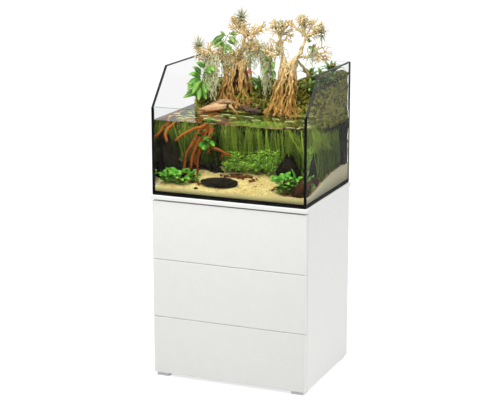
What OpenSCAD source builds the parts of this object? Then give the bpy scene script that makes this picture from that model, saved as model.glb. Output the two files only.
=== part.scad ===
// Aquarium with cabinet. An open glass tank with a sloping front holds a planted river bank, and
// stands on a white cabinet with three handleless push-to-open drawers.
// Millimetres. X runs to the right, Y to the back and Z up. The origin is on the floor, under the
// middle of the cabinet.

/* [Tank] */
// Width of the tank over the glass
tank_w = 600; // [520:10:760]
// Depth of the tank over the glass
tank_d = 470; // [420:10:560]
// Height of the front pane
front_pane_h = 324; // [300:1:380]
// Height of the back pane, and of the side panes behind their slope
back_pane_h = 458; // [420:1:540]
// Depth from the front of the tank to the top of the slope on the side panes
slope_run = 124; // [80:1:180]
// Thickness of the wall panes
pane_t = 6; // [5:0.5:8]
// Thickness of the bottom pane
bottom_pane_t = 8; // [6:1:12]
// Thickness of the silicone between two panes
bond_t = 1; // [0.5:0.1:2]
// Leg of the triangular silicone bead in an inside corner
bead = 4; // [3:0.5:4.5]
// Thickness of the foam mat under the tank
mat_t = 3; // [2:0.5:6]
// Height of the black channel on the upper edges of the side panes
trim_h = 4; // [3:0.5:9]
// Wall of that channel
trim_wall = 1; // [0.8:0.1:1.5]

/* [Cabinet] */
// Height of the cabinet from the floor to the top of its plate
cabinet_h = 700; // [640:5:800]
// How far the cabinet is wider than the tank on each side
body_margin = 2; // [0:1:10]
// How far the plate stands out past the body all round
plate_reveal = 4; // [0:1:10]
// Thickness of the plate
plate_t = 16; // [16:1:25]
// Thickness of the side, base and back boards and of the rails
board_t = 16; // [16:1:19]
// Thickness of a drawer front
front_t = 18; // [18:1:22]
// Chamfer round the edges of the plate and the drawer fronts
edge_chamfer = 1; // [0.5:0.5:2]
// Shadow gap between the plate and the top drawer front
shadow_gap = 6; // [4:1:10]
// Gap between two drawer fronts
seam_gap = 2; // [1.5:0.5:4]
// Room behind a closed drawer front, which lets it be pressed in
press_room = 2.5; // [2:0.5:4]
// How deep a rail is, from front to back
rail_d = 70; // [60:5:100]
// How far the top rail stands back behind the shadow gap
top_rail_setback = 10; // [5:1:20]
// Height of a foot
foot_h = 12; // [10:1:20]
// Width of a foot, which is square
foot_w = 50; // [44:1:60]
// Radius of a foot's upright corners
foot_corner_r = 3; // [2:0.5:6]
// From the edge of the cabinet's body to a foot
foot_inset = 7; // [4:1:12]
// Gap between the feet and the bottom drawer front, which slides over them
foot_gap = 1.5; // [1:0.5:3]

/* [Drawers] */
// Room between a closed drawer box and the back panel
box_back_room = 26; // [15:1:40]
// How much shorter a runner is than its drawer box
runner_short = 10; // [8:1:20]
// Height of a runner
runner_h = 45; // [40:1:50]
// Thickness of a runner, which is the gap between a drawer and the cabinet side
runner_w = 12.7; // [12:0.1:14]
// Sheet thickness of a runner
runner_sheet = 1.5; // [1.2:0.1:1.6]
// Running gap between two members of a runner
runner_gap = 0.5; // [0.4:0.05:0.6]
// Height of a drawer box
box_h = 150; // [120:5:165]
// From the lower edge of a front to the lower edge of its box
box_lift = 22; // [20:1:26]
// Thickness of the sides and the back of a drawer box
box_t = 15; // [14:0.5:16]
// Thickness of a drawer bottom
drawer_bottom_t = 5; // [4:0.5:6]
// Depth of the groove for a drawer bottom
groove_d = 6; // [5:0.5:7]
// From the lower edge of a box to its groove
groove_up = 12; // [10:1:16]
// From the lower edge of a box to the middle of its runner
runner_up = 42; // [40:1:50]
// How far the latch plunger can be pressed in
latch_travel = 3; // [2:0.5:4]
// Radius of the latch plunger
plunger_r = 4; // [3:0.25:4.5]

/* [Fittings] */
// Diameter of a cam lock
cam_d = 15; // [12:1:15]
// Depth of a cam lock
cam_depth = 12.5; // [10:0.5:12.5]
// From the end of a board to the middle of its cam lock
cam_reach = 24; // [20:1:34]
// Radius of the shank of a cam bolt
bolt_r = 3; // [2.5:0.25:3.5]
// How deep a cam bolt is screwed into the other board
bolt_bite = 11; // [8:1:13]
// Radius of a runner screw
screw_r = 2.5; // [2:0.25:3]
// Length of a runner screw
screw_l = 11; // [8:1:12]

/* [Planting] */
// Depth of the water above the bottom pane
water_depth = 269; // [240:1:280]
// Depth of the sand at the front pane
sand_front = 20; // [16:1:26]
// Rise of the sand from the front pane to the back
sand_rise = 42; // [30:1:50]
// Height of the left piece of driftwood above the water
left_wood_h = 311; // [280:1:340]
// Height of the right piece of driftwood above the water
right_wood_h = 318; // [290:1:345]
// Radius at the tip of a twig
twig_tip = 1.1; // [0.9:0.1:1.6]
// Width of a blade of grass
blade_w = 7; // [5:0.5:9]
// Thickness of the leaves
leaf_t = 1.6; // [1.2:0.1:2.4]
// Length of a broad leaf on the sand
broad_leaf_l = 46; // [38:1:54]
// Length of a leaf of the climber
climber_leaf_l = 46; // [38:1:54]
// Length of a leaf of an air plant
air_leaf_l = 46; // [38:1:54]
// Length of a leaf of a bromeliad
bromeliad_leaf_l = 60; // [50:1:70]

/* [Hidden] */
BAYS = ["bottom", "middle", "top"];
DRAWER_PIECES = ["front", "sides", "back", "base", "runners", "fittings", "slides", "latch_plunger"];
$fn = 48;

// Clearances
snug = 0.05;
loose = 0.2;
touch = 0.3;
eps = 0.01;

// Cabinet places
body_w = tank_w + 2 * body_margin;
body_y0 = -tank_d / 2;
body_y1 = tank_d / 2;
carcass_y0 = body_y0 + front_t + press_room;
plate_z0 = cabinet_h - plate_t;
plate_w = body_w + 2 * plate_reveal;
plate_d = tank_d + 2 * plate_reveal;
inner_x = body_w / 2 - board_t;
back_y0 = body_y1 - board_t;
fronts_z1 = plate_z0 - shadow_gap;
front_h = (fronts_z1 - foot_h - foot_gap - 2 * seam_gap) / 3;
function front_z0(k) = foot_h + foot_gap + k * (front_h + seam_gap);
function seam_z(k) = front_z0(k) - seam_gap / 2;
foot_x = body_w / 2 - foot_inset - foot_w / 2;
foot_y = tank_d / 2 - foot_inset - foot_w / 2;

// Drawer places
box_x = inner_x - runner_w;
box_y0 = body_y0 + front_t;
box_y1 = back_y0 - box_back_room;
box_l = box_y1 - box_y0;
runner_l = box_l - runner_short;
function box_z0(k) = front_z0(k) + box_lift;
runner_y0 = carcass_y0 + 2.5;
function runner_z(k) = box_z0(k) + runner_up;
latch_w = runner_w - 1.2;
latch_h = 18;
latch_l = 60;
latch_up = 96;
latch_y0 = carcass_y0 + 3;
plunger_l = 34;
function latch_z(k) = box_z0(k) + latch_up;

// Tank places
tank_z0 = cabinet_h + mat_t;
in_x = tank_w / 2 - pane_t;
in_y = tank_d / 2 - pane_t;
floor_z = tank_z0 + bottom_pane_t;
front_top = tank_z0 + front_pane_h;
back_top = tank_z0 + back_pane_h;
side_y = in_y - bond_t;
side_front_top = front_top + 2;
slope_y = slope_run - tank_d / 2;
water_z = floor_z + water_depth;

// The planting is drawn round the middle of the water surface, for a tank of this inside size, and
// is stretched to the tank that it stands in
drawn_x = 294;
drawn_y = 229;
drawn_depth = 269;
// Turns a real length into one of that drawing, across and up
in_drawing = drawn_x / in_x;
in_drawing_z = drawn_depth / water_depth;
tip_r = twig_tip * in_drawing;
blade = blade_w * in_drawing;
thin = leaf_t * in_drawing;
broad_l = broad_leaf_l * in_drawing;
climber_l = climber_leaf_l * in_drawing;
air_l = air_leaf_l * in_drawing;
bromeliad_l = bromeliad_leaf_l * in_drawing;
sand_low = -drawn_depth + touch;

// Vectors and shapes

function unit(v) = v / norm(v);
function mix(a, b, t) = a + (b - a) * t;
function smooth(t) = let (s = max(0, min(1, t))) s * s * (3 - 2 * s);
// A fixed value between -1 and 1 for each whole number
function scatter(k) = let (s = sin(k * 78.233 + 37.1) * 4375.8545) (s - floor(s)) * 2 - 1;
function scatter3(k) = [scatter(k), scatter(k + 0.37), scatter(k + 0.71)];
function heading(path, i) = unit(path[min(i + 1, len(path) - 1)] - path[max(i - 1, 0)]);
// The row axis that lies least along a direction
function cross_axis(d) =
    let (a = [abs(d.x), abs(d.y), abs(d.z)])
    a.x <= a.y && a.x <= a.z ? [1, 0, 0] : a.y <= a.z ? [0, 1, 0] : [0, 0, 1];
// Points of an oval round a centre, square to a direction
function oval(centre, dir, ref, ru, rv, sides) =
    let (u = unit(cross(dir, ref)), v = cross(dir, u))
    [for (k = [0 : sides - 1]) centre + ru * cos(360 * k / sides) * u + rv * sin(360 * k / sides) * v];
// A path from p to q that bows by a vector and wanders a little on the way
function bowed(p, q, bow, steps, wander = 0, seed = 0) =
    [for (i = [0 : steps])
        let (t = i / steps, free = 4 * t * (1 - t))
        mix(p, q, t) + bow * free + scatter3(seed + i) * wander * min(1, free)];

// Side faces between rings of m points each, as triangles
function ring_faces(n, m) =
    [for (i = [0 : n - 1], k = [0 : m - 1], half = [0, 1])
        let (a = i * m + k, b = i * m + (k + 1) % m)
        half == 0 ? [a, a + m, b + m] : [a, b + m, b]];

// A closed solid through rings of points, with flat ends
module loft(rings) {
    m = len(rings[0]);
    n = len(rings) - 1;
    polyhedron(
        points = [for (r = rings) each r],
        faces = concat(
            [for (k = [1 : m - 2]) [0, k, k + 1]],
            [for (k = [1 : m - 2]) [n * m, n * m + k + 1, n * m + k]],
            ring_faces(n, m)));
}

// A closed solid through rings of points that comes to a point at both ends
module spindle(start, rings, end) {
    m = len(rings[0]);
    n = len(rings) - 1;
    tail = (n + 1) * m;
    polyhedron(
        points = concat([for (r = rings) each r], [start, end]),
        faces = concat(
            [for (k = [0 : m - 1]) [tail, k, (k + 1) % m]],
            [for (k = [0 : m - 1]) [tail + 1, n * m + (k + 1) % m, n * m + k]],
            n > 0 ? ring_faces(n, m) : []));
}

// A round limb along a path, from radius r0 to radius r1
module limb(path, r0, r1, sides = 5) {
    n = len(path) - 1;
    ref = cross_axis(path[n] - path[0]);
    loft([for (i = [0 : n])
        let (r = mix(r0, r1, i / n))
        oval(path[i], heading(path, i), ref, r, r, sides)]);
}

// A strap along a path, which narrows to its tip. It is flat with 4 sides and keeled with 3
module strap(path, width, thick, up = [0, 0, 1], sides = 4) {
    n = len(path) - 1;
    spindle(path[0],
        [for (i = [1 : n - 1])
            oval(path[i], heading(path, i), up, width / 2 * (1 - 0.35 * i / n), thick / 2, sides)],
        path[n]);
}

// A broad leaf with its stalk, which starts at root. The blade runs from p to its tip at q, and is
// lifted in the middle
module leaf(root, p, q, width, lift = 2) {
    d = unit(q - p);
    up = abs(d.z) > 0.9 ? [0, 1, 0] : [0, 0, 1];
    rise = unit(cross(unit(cross(d, up)), d)) * lift;
    spindle(root, [
        oval(p, d, up, thin * 0.7, thin * 0.6, 4),
        oval(mix(p, q, 0.35) + rise, d, up, width / 2, thin / 2, 4),
        oval(mix(p, q, 0.7) + rise * 0.7, d, up, width * 0.39, thin / 2, 4)], q);
}

// A knot of wood or a stone: the hull of balls
module lump(balls, sides = 6) {
    hull() for (b = balls) translate(b[0]) sphere(r = b[1], $fn = sides);
}

// Puts what was drawn round the water surface into the tank
module planted() {
    translate([0, 0, water_z])
        scale([in_x / drawn_x, in_y / drawn_y, water_depth / drawn_depth])
            children();
}

// A board with its outer front edges chamfered. Its front faces -Y
module chamfered_front(w, d, h, c) {
    intersection() {
        translate([-w / 2, 0, 0])
            rotate([90, 0, 90])
                linear_extrude(w)
                    polygon([[0, c], [c, 0], [d, 0], [d, h], [c, h], [0, h - c]]);
        linear_extrude(h)
            polygon([[-w / 2 + c, 0], [w / 2 - c, 0], [w / 2, c], [w / 2, d], [-w / 2, d], [-w / 2, c]]);
    }
}

// A plate with all its upper and lower edges chamfered
module chamfered_plate(w, d, h, c) {
    intersection() {
        translate([-w / 2, 0, 0])
            rotate([90, 0, 90])
                linear_extrude(w)
                    polygon([[-d / 2, c], [-d / 2 + c, 0], [d / 2 - c, 0], [d / 2, c],
                             [d / 2, h - c], [d / 2 - c, h], [-d / 2 + c, h], [-d / 2, h - c]]);
        translate([0, d / 2, 0])
            rotate([90, 0, 0])
                linear_extrude(d)
                    polygon([[-w / 2, c], [-w / 2 + c, 0], [w / 2 - c, 0], [w / 2, c],
                             [w / 2, h - c], [w / 2 - c, h], [-w / 2 + c, h], [-w / 2, h - c]]);
    }
}

module rod(r, l) {
    cylinder(r = r, h = l);
}

// Extrudes a drawing of the Y-Z plane along X, centred on x
module along_x(x, w) {
    translate([x - w / 2, 0, 0]) rotate([90, 0, 90]) linear_extrude(w) children();
}

// Extrudes a drawing of the X-Z plane along Y, from y
module along_y(y, l) {
    translate([0, y + l, 0]) rotate([90, 0, 0]) linear_extrude(l) children();
}

// Cam fittings. Each joint has its origin on the face where two boards meet. Its own +X runs into
// the board that holds the cam and its own +Z points out of the mouth of the cam

INTO_RIGHT = [180, 0, 0];
INTO_LEFT = [180, 0, 180];
function board_joints(y, z) = [
    [[-inner_x, y, z], INTO_RIGHT, board_t],
    [[inner_x, y, z], INTO_LEFT, board_t]];
function back_joints(z) = [
    [[-inner_x, back_y0 + board_t / 2, z], [90, 0, 0], board_t],
    [[inner_x, back_y0 + board_t / 2, z], [-90, 0, 180], board_t]];
function plate_joints(y) = [
    [[-inner_x - board_t / 2, y, plate_z0], [0, 90, 0], board_t],
    [[inner_x + board_t / 2, y, plate_z0], [0, 90, 180], board_t]];

base_z = foot_h + board_t / 2;
top_rail_y0 = carcass_y0 + top_rail_setback;
BASE_JOINTS = concat(board_joints(carcass_y0 + 60, base_z), board_joints(back_y0 - 60, base_z));
TOP_RAIL_JOINTS = board_joints(top_rail_y0 + rail_d / 2, plate_z0 - board_t / 2);
RAIL_JOINTS = concat(
    board_joints(carcass_y0 + rail_d / 2, seam_z(1)),
    board_joints(carcass_y0 + rail_d / 2, seam_z(2)));
BACK_JOINTS = concat(back_joints(foot_h + board_t + 60), back_joints(plate_z0 - 60));
PLATE_JOINTS = concat(plate_joints(carcass_y0 + 150), plate_joints(back_y0 - 60));
ALL_JOINTS = concat(BASE_JOINTS, TOP_RAIL_JOINTS, RAIL_JOINTS, BACK_JOINTS, PLATE_JOINTS);

module at_joint(j) {
    translate(j[0]) rotate(j[1]) children();
}

// The cam, with the cross hole that takes the head of its bolt
module cam_lock(t) {
    difference() {
        translate([cam_reach, 0, t / 2 - cam_depth]) rod(cam_d / 2 - snug, cam_depth);
        translate([cam_reach - cam_d, 0, 0]) rotate([0, 90, 0]) rod(bolt_r + 0.6, cam_d + 3);
        translate([cam_reach, 0, t / 2 - 2]) cube([8, 2, 5], center = true);
        translate([cam_reach, 0, t / 2 - 2]) cube([2, 8, 5], center = true);
    }
}

module cam_bolt() {
    rotate([0, 90, 0]) {
        translate([0, 0, -bolt_bite]) rod(bolt_r - snug, bolt_bite + cam_reach - 3);
        translate([0, 0, cam_reach - 3]) rod(bolt_r + 0.4, 4);
    }
}

// What the cam and its bolt need cut out of the board that holds the cam
module cam_board_holes(joints) {
    for (j = joints)
        at_joint(j) {
            translate([cam_reach, 0, j[2] / 2 - cam_depth]) rod(cam_d / 2, cam_depth + 1);
            translate([-1, 0, 0]) rotate([0, 90, 0]) rod(bolt_r + 0.6, cam_reach + 1);
        }
}

// What the bolt needs cut out of the other board
module cam_bolt_holes(joints) {
    for (j = joints)
        at_joint(j)
            translate([-bolt_bite - loose, 0, 0]) rotate([0, 90, 0]) rod(bolt_r, bolt_bite + loose + 1);
}

// Cabinet

module cabinet_top() {
    color("#f4f4f2")
        difference() {
            translate([0, 0, plate_z0])
                chamfered_plate(plate_w, plate_d, plate_t, edge_chamfer);
            cam_bolt_holes(PLATE_JOINTS);
        }
}

module side_panel(side) {
    x0 = side > 0 ? inner_x : -inner_x - board_t;
    color("#f1f1ef")
        difference() {
            translate([x0, carcass_y0, foot_h]) cube([board_t, body_y1 - carcass_y0, plate_z0 - foot_h]);
            cam_bolt_holes([for (j = concat(BASE_JOINTS, TOP_RAIL_JOINTS, RAIL_JOINTS, BACK_JOINTS))
                if (j[0].x * side > 0) j]);
            cam_board_holes([for (j = PLATE_JOINTS) if (j[0].x * side > 0) j]);
            for (k = [0 : 2], y = RUNNER_SCREWS)
                translate([side * inner_x, y, runner_z(k)])
                    rotate([0, side * 90, 0])
                        translate([0, 0, -1]) rod(screw_r, screw_l + 1 + loose);
            if (side < 0)
                for (k = [0 : 2], y = LATCH_SCREWS)
                    translate([-inner_x, y, latch_z(k)])
                        towards(-1) translate([0, 0, -1]) rod(latch_screw_r, latch_screw_bite + 1 + loose);
        }
}

module base_panel() {
    color("#efefed")
        difference() {
            translate([-inner_x, carcass_y0, foot_h]) cube([2 * inner_x, back_y0 - carcass_y0, board_t]);
            cam_board_holes(BASE_JOINTS);
            at_foot_screws() rod(foot_screw_r, foot_h - foot_screw_up + foot_screw_bite + loose);
        }
}

module back_panel() {
    color("#efefed")
        difference() {
            translate([-inner_x, back_y0, foot_h]) cube([2 * inner_x, board_t, plate_z0 - foot_h]);
            cam_board_holes(BACK_JOINTS);
        }
}

module top_rail() {
    color("#efefed")
        difference() {
            translate([-inner_x, top_rail_y0, plate_z0 - board_t]) cube([2 * inner_x, rail_d, board_t]);
            cam_board_holes(TOP_RAIL_JOINTS);
        }
}

module divider_rails() {
    color("#efefed")
        difference() {
            for (k = [1, 2])
                translate([-inner_x, carcass_y0, seam_z(k) - board_t / 2])
                    cube([2 * inner_x, rail_d, board_t]);
            cam_board_holes(RAIL_JOINTS);
        }
}

module cam_locks() {
    color("#b9bcc0")
        for (j = ALL_JOINTS) at_joint(j) cam_lock(j[2]);
}

module cam_bolts() {
    color("#c9ccd0")
        for (j = ALL_JOINTS) at_joint(j) cam_bolt();
}

// Feet: square pads at the corners, each held by two countersunk screws in the base panel
foot_screw_r = 2;
foot_screw_bite = 12;
foot_screw_up = 2;
foot_screw_spread = 11;

// The screws stand towards the middle of the cabinet, under the base panel
module at_foot_screws() {
    for (sx = [-1, 1], sy = [-1, 1], i = [-1, 1])
        translate([sx * (foot_x - foot_screw_spread) + i * (foot_screw_spread - 2),
                   sy * (foot_y - foot_screw_spread) - i * sx * sy * (foot_screw_spread - 2), foot_screw_up])
            children();
}

module foot_outline(inset) {
    r = foot_corner_r - inset;
    a = foot_w / 2 - foot_corner_r;
    square([2 * (a + r), 2 * a], center = true);
    square([2 * a, 2 * (a + r)], center = true);
    for (sx = [-1, 1], sy = [-1, 1]) translate([sx * a, sy * a]) circle(r);
}

module foot_pads() {
    color("#d8d8d6")
        difference() {
            for (sx = [-1, 1], sy = [-1, 1])
                translate([sx * foot_x, sy * foot_y, 0]) {
                    linear_extrude(1) foot_outline(1);
                    translate([0, 0, 1]) linear_extrude(foot_h - 1) foot_outline(0);
                }
            at_foot_screws() screw_hole(foot_screw_r + loose, foot_screw_r, foot_h);
            at_foot_screws()
                translate([0, 0, -foot_screw_up - 1]) rod(2 * foot_screw_r + loose, foot_screw_up + 1);
        }
}

module foot_screws() {
    color("#a8abb0")
        at_foot_screws()
            screw(foot_screw_r, foot_screw_r, foot_h - foot_screw_up + foot_screw_bite);
}

// Drawer runners: an outer member on the cabinet, a middle member that rides half way, and an
// inner member on the drawer

RUNNER_SCREWS = [runner_y0 + 37, runner_y0 + runner_l - 107];
BOX_SCREWS = [runner_y0 + 60, runner_y0 + runner_l - 116];

// A channel drawn in X-Z with its web at x0 and its flanges out to x1
module channel(x0, x1, h) {
    s = sign(x1 - x0);
    web = x0 + s * runner_sheet;
    top = h / 2;
    inside = h / 2 - runner_sheet;
    polygon([[x0, -top], [x1, -top], [x1, -inside], [web, -inside],
             [web, inside], [x1, inside], [x1, top], [x0, top]]);
}

// Half of each member's depth follows from the sheet and the running gap
slide_web = runner_sheet + runner_gap;
slide_h = runner_h - 2 * slide_web;
inner_h = slide_h - 2 * slide_web;

// A countersunk hole along +Z through a sheet or board, whose wide end is at z = 0. The hole goes
// on for a depth past the countersink
module screw_hole(r, sink, depth) {
    rotate_extrude()
        polygon([[0, -1], [r + sink, -1], [r + sink, 0], [r, sink], [r, sink + depth], [0, sink + depth]]);
}

// The countersunk screw that goes with it, with its point at the far end
module screw(r, sink, l) {
    rotate_extrude()
        polygon([[0, 0], [r + sink - loose, 0], [r - snug, sink - loose / 2], [r - snug, l - 3], [0, l]]);
}

// Turns +Z of its children towards the side of the cabinet that side names
module towards(side) {
    rotate([0, side * 90, 0]) children();
}

module runner_outers() {
    color("#bfc3c8")
        for (k = [0 : 2], side = [-1, 1])
            difference() {
                translate([0, 0, runner_z(k)])
                    along_y(runner_y0, runner_l)
                        channel(side * inner_x, side * (inner_x - runner_w + slide_web + 1), runner_h);
                for (y = RUNNER_SCREWS)
                    translate([side * (inner_x - runner_sheet), y, runner_z(k)])
                        towards(side) screw_hole(screw_r + snug, runner_sheet, 1);
            }
}

// The screws that hold the runners and the latches to the side panels
module side_panel_screws() {
    color("#d0d3d7")
        for (k = [0 : 2]) {
            for (side = [-1, 1], y = RUNNER_SCREWS)
                translate([side * (inner_x - runner_sheet), y, runner_z(k)])
                    towards(side) screw(screw_r, runner_sheet, runner_sheet + screw_l);
            for (y = LATCH_SCREWS)
                translate([latch_w - inner_x, y, latch_z(k)])
                    towards(-1) screw(latch_screw_r, latch_screw_sink, latch_w + latch_screw_bite);
        }
}

module drawer_slides(k) {
    color("#b4b8bd")
        for (side = [-1, 1])
            translate([0, 0, runner_z(k)])
                along_y(runner_y0, runner_l)
                    channel(side * (inner_x - slide_web),
                        side * (box_x + runner_sheet + 2 * runner_gap), slide_h);
}

module drawer_runners(k) {
    color("#c7cbd0")
        for (side = [-1, 1])
            difference() {
                translate([0, 0, runner_z(k)])
                    along_y(runner_y0, runner_l)
                        channel(side * box_x, side * (inner_x - 2 * slide_web), inner_h);
                for (y = BOX_SCREWS)
                    translate([side * (box_x + runner_sheet), y, runner_z(k)])
                        towards(-side) screw_hole(screw_r + snug, runner_sheet, 1);
            }
}

// Drawers. Each box has two sides, a back that is screwed between them, and a bottom in grooves
// that is screwed to the back. The front is held to the sides by cam fittings

BOX_JOINT_UP = [32, box_h - 32];
BACK_SCREW_UP = [box_h - 62, box_h - 22];
back_screw_y = box_y1 - box_t / 2;
back_screw_r = 2;
back_screw_l = 45;
bottom_screw_r = 1.5;
bottom_screw_l = 22;
BOTTOM_SCREWS = [-0.3, 0.3] * 2 * box_x;
function box_joints(k) =
    [for (side = [-1, 1], up = BOX_JOINT_UP)
        [[side * (box_x - box_t / 2), box_y0, box_z0(k) + up], [side * -90, 0, 90], box_t]];

module at_back_screws(k) {
    for (side = [-1, 1], up = BACK_SCREW_UP)
        translate([side * box_x, back_screw_y, box_z0(k) + up]) towards(-side) children();
}

module at_bottom_screws(k) {
    for (x = BOTTOM_SCREWS) translate([x, back_screw_y, box_z0(k) + groove_up]) children();
}

module drawer_front(k) {
    color("#f4f4f3")
        difference() {
            translate([0, body_y0, front_z0(k)]) chamfered_front(body_w, front_t, front_h, edge_chamfer);
            cam_bolt_holes(box_joints(k));
            translate([-box_x + box_t - groove_d, box_y0 - groove_d, box_z0(k) + groove_up - loose / 2])
                cube([2 * (box_x - box_t + groove_d), groove_d + 1, drawer_bottom_t + loose]);
        }
}

module drawer_sides(k) {
    color("#e9e9e6")
        difference() {
            for (side = [-1, 1])
                translate([side > 0 ? box_x - box_t : -box_x, box_y0, box_z0(k)])
                    cube([box_t, box_l, box_h]);
            translate([-box_x + box_t - groove_d, box_y0 - 1, box_z0(k) + groove_up - loose / 2])
                cube([2 * (box_x - box_t + groove_d), box_l + 2, drawer_bottom_t + loose]);
            cam_board_holes(box_joints(k));
            for (side = [-1, 1], y = BOX_SCREWS)
                translate([side * box_x, y, runner_z(k)])
                    towards(-side) translate([0, 0, -1]) rod(screw_r, screw_l + 1 + loose);
            at_back_screws(k) screw_hole(back_screw_r, back_screw_r, box_t);
        }
}

module drawer_back(k) {
    z0 = box_z0(k) + groove_up + drawer_bottom_t;
    color("#e9e9e6")
        difference() {
            translate([-box_x + box_t, box_y1 - box_t, z0])
                cube([2 * (box_x - box_t), box_t, box_z0(k) + box_h - z0]);
            at_back_screws(k) rod(back_screw_r, back_screw_l + loose);
            at_bottom_screws(k) rod(bottom_screw_r, bottom_screw_l + loose);
        }
}

module drawer_base(k) {
    w = 2 * (box_x - box_t + groove_d - loose);
    color("#e2e2de")
        difference() {
            translate([-w / 2, box_y0 - groove_d + loose, box_z0(k) + groove_up])
                cube([w, box_l + groove_d - loose, drawer_bottom_t]);
            at_bottom_screws(k) screw_hole(bottom_screw_r, bottom_screw_r, drawer_bottom_t);
        }
}

module drawer_fittings(k) {
    color("#b9bcc0") {
        for (j = box_joints(k))
            at_joint(j) {
                cam_lock(j[2]);
                cam_bolt();
            }
        for (side = [-1, 1], y = BOX_SCREWS)
            translate([side * (box_x + runner_sheet), y, runner_z(k)])
                towards(-side) screw(screw_r, runner_sheet, runner_sheet + screw_l);
        at_back_screws(k) screw(back_screw_r, back_screw_r, back_screw_l);
        at_bottom_screws(k) screw(bottom_screw_r, bottom_screw_r, bottom_screw_l);
    }
}

// Push latches: a housing on the left side panel and a sprung plunger that meets the drawer front

latch_screw_r = 1.5;
latch_screw_sink = 1.5;
latch_screw_bite = 9;
latch_bore_l = plunger_l + latch_travel + 1;
LATCH_SCREWS = [latch_y0 + latch_bore_l + 4, latch_y0 + latch_l - 5];

module latch_housings() {
    color("#dcdcda")
        for (k = [0 : 2])
            difference() {
                translate([-inner_x, latch_y0, latch_z(k) - latch_h / 2]) cube([latch_w, latch_l, latch_h]);
                translate([-inner_x + latch_w / 2, latch_y0 - 1, latch_z(k)])
                    rotate([-90, 0, 0]) rod(plunger_r + snug, latch_bore_l);
                for (y = LATCH_SCREWS)
                    translate([latch_w - inner_x, y, latch_z(k)])
                        towards(-1) screw_hole(latch_screw_r, latch_screw_sink, latch_w);
            }
}

module drawer_latch_plunger(k) {
    y0 = box_y0 + touch;
    color("#8f9296")
        translate([-inner_x + latch_w / 2, y0, latch_z(k)])
            rotate([-90, 0, 0])
                rotate_extrude()
                    polygon([[0, 0], [plunger_r - 1, 0], [plunger_r, 1], [plunger_r, plunger_l],
                             [0, plunger_l]]);
}

// Tank

function side_pane_outline() = [
    [-side_y, tank_z0], [side_y, tank_z0], [side_y, back_top], [slope_y, back_top],
    [-side_y, side_front_top]];

module tank_mat() {
    color("#2b2b2b")
        translate([-tank_w / 2 + 1, -tank_d / 2 + 1, cabinet_h]) cube([tank_w - 2, tank_d - 2, mat_t]);
}

module tank_bottom_pane() {
    x = in_x - bond_t;
    color("#cfe3df", 0.4) translate([-x, -side_y, tank_z0]) cube([2 * x, 2 * side_y, bottom_pane_t]);
}

module tank_front_pane() {
    color("#dcebe8", 0.3)
        translate([-tank_w / 2, -tank_d / 2, tank_z0]) cube([tank_w, pane_t, front_pane_h]);
}

module tank_back_pane() {
    color("#dcebe8", 0.3)
        translate([-tank_w / 2, in_y, tank_z0]) cube([tank_w, pane_t, back_pane_h]);
}

module tank_side_panes() {
    color("#dcebe8", 0.3)
        for (side = [-1, 1]) along_x(side * (in_x + pane_t / 2), pane_t) polygon(side_pane_outline());
}

// The slope's own direction and its outward normal, in the Y-Z plane
slope_dir = unit([slope_y + side_y, back_top - side_front_top]);
slope_out = [-slope_dir.y, slope_dir.x];
// A point of the line that lies a past the slope, at the height z or at the depth y
function slope_at_z(a, z) =
    let (p = [-side_y, side_front_top] + slope_out * a) [p.x + (z - p.y) * slope_dir.x / slope_dir.y, z];
function slope_at_y(a, y) =
    let (p = [-side_y, side_front_top] + slope_out * a) [y, p.y + (y - p.x) * slope_dir.y / slope_dir.x];

bead_top = slope_at_y(trim_wall - trim_h, -side_y).y - 1;

module corner_bead(sx, sy, z1) {
    translate([0, 0, floor_z])
        linear_extrude(z1 - floor_z)
            polygon([[sx * in_x, sy * in_y], [sx * (in_x - bead), sy * in_y],
                     [sx * in_x, sy * (in_y - bead)]]);
}

module tank_silicone() {
    gx = in_x - bond_t;
    bead_z = floor_z + bead;
    color("#161616") {
        for (sx = [-1, 1]) {
            translate([sx > 0 ? in_x : -tank_w / 2, -in_y, tank_z0]) cube([pane_t, bond_t, front_pane_h]);
            translate([sx > 0 ? in_x : -tank_w / 2, side_y, tank_z0]) cube([pane_t, bond_t, back_pane_h]);
            corner_bead(sx, -1, bead_top);
            corner_bead(sx, 1, back_top - trim_h - 1);
        }
        difference() {
            translate([-in_x, -in_y, tank_z0]) cube([2 * in_x, 2 * in_y, bottom_pane_t]);
            translate([-gx, -side_y, tank_z0 - 1]) cube([2 * gx, 2 * side_y, bottom_pane_t + 2]);
        }
        for (sx = [-1, 1])
            along_y(-in_y, 2 * in_y)
                polygon([[sx * in_x, floor_z], [sx * (in_x - bead), floor_z], [sx * in_x, bead_z]]);
        for (sy = [-1, 1])
            along_x(0, 2 * in_x)
                polygon([[sy * in_y, floor_z], [sy * (in_y - bead), floor_z], [sy * in_y, bead_z]]);
    }
}

// The black channels over the sloping and top edges of the side panes
module edge_trims() {
    low = trim_wall - trim_h;
    color("#141414")
        for (side = [-1, 1])
            difference() {
                along_x(side * (in_x + pane_t / 2), pane_t + 2 * trim_wall)
                    polygon([slope_at_y(low, -side_y), slope_at_y(trim_wall, -side_y),
                             slope_at_z(trim_wall, back_top + trim_wall), [side_y, back_top + trim_wall],
                             [side_y, back_top + low], slope_at_z(low, back_top + low)]);
                along_x(side * (in_x + pane_t / 2), pane_t) polygon(side_pane_outline());
            }
}

// Ground

// Height of the sand at a place
function sand_z(x, y) =
    -drawn_depth + sand_front + sand_rise * smooth((y + drawn_y) / 300)
    + 2.5 * sin(x * 1.9 + 40) * cos(y * 1.3) + 4 * smooth((x - 60) / 200) + 3 * smooth((-x - 160) / 100);

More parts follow.
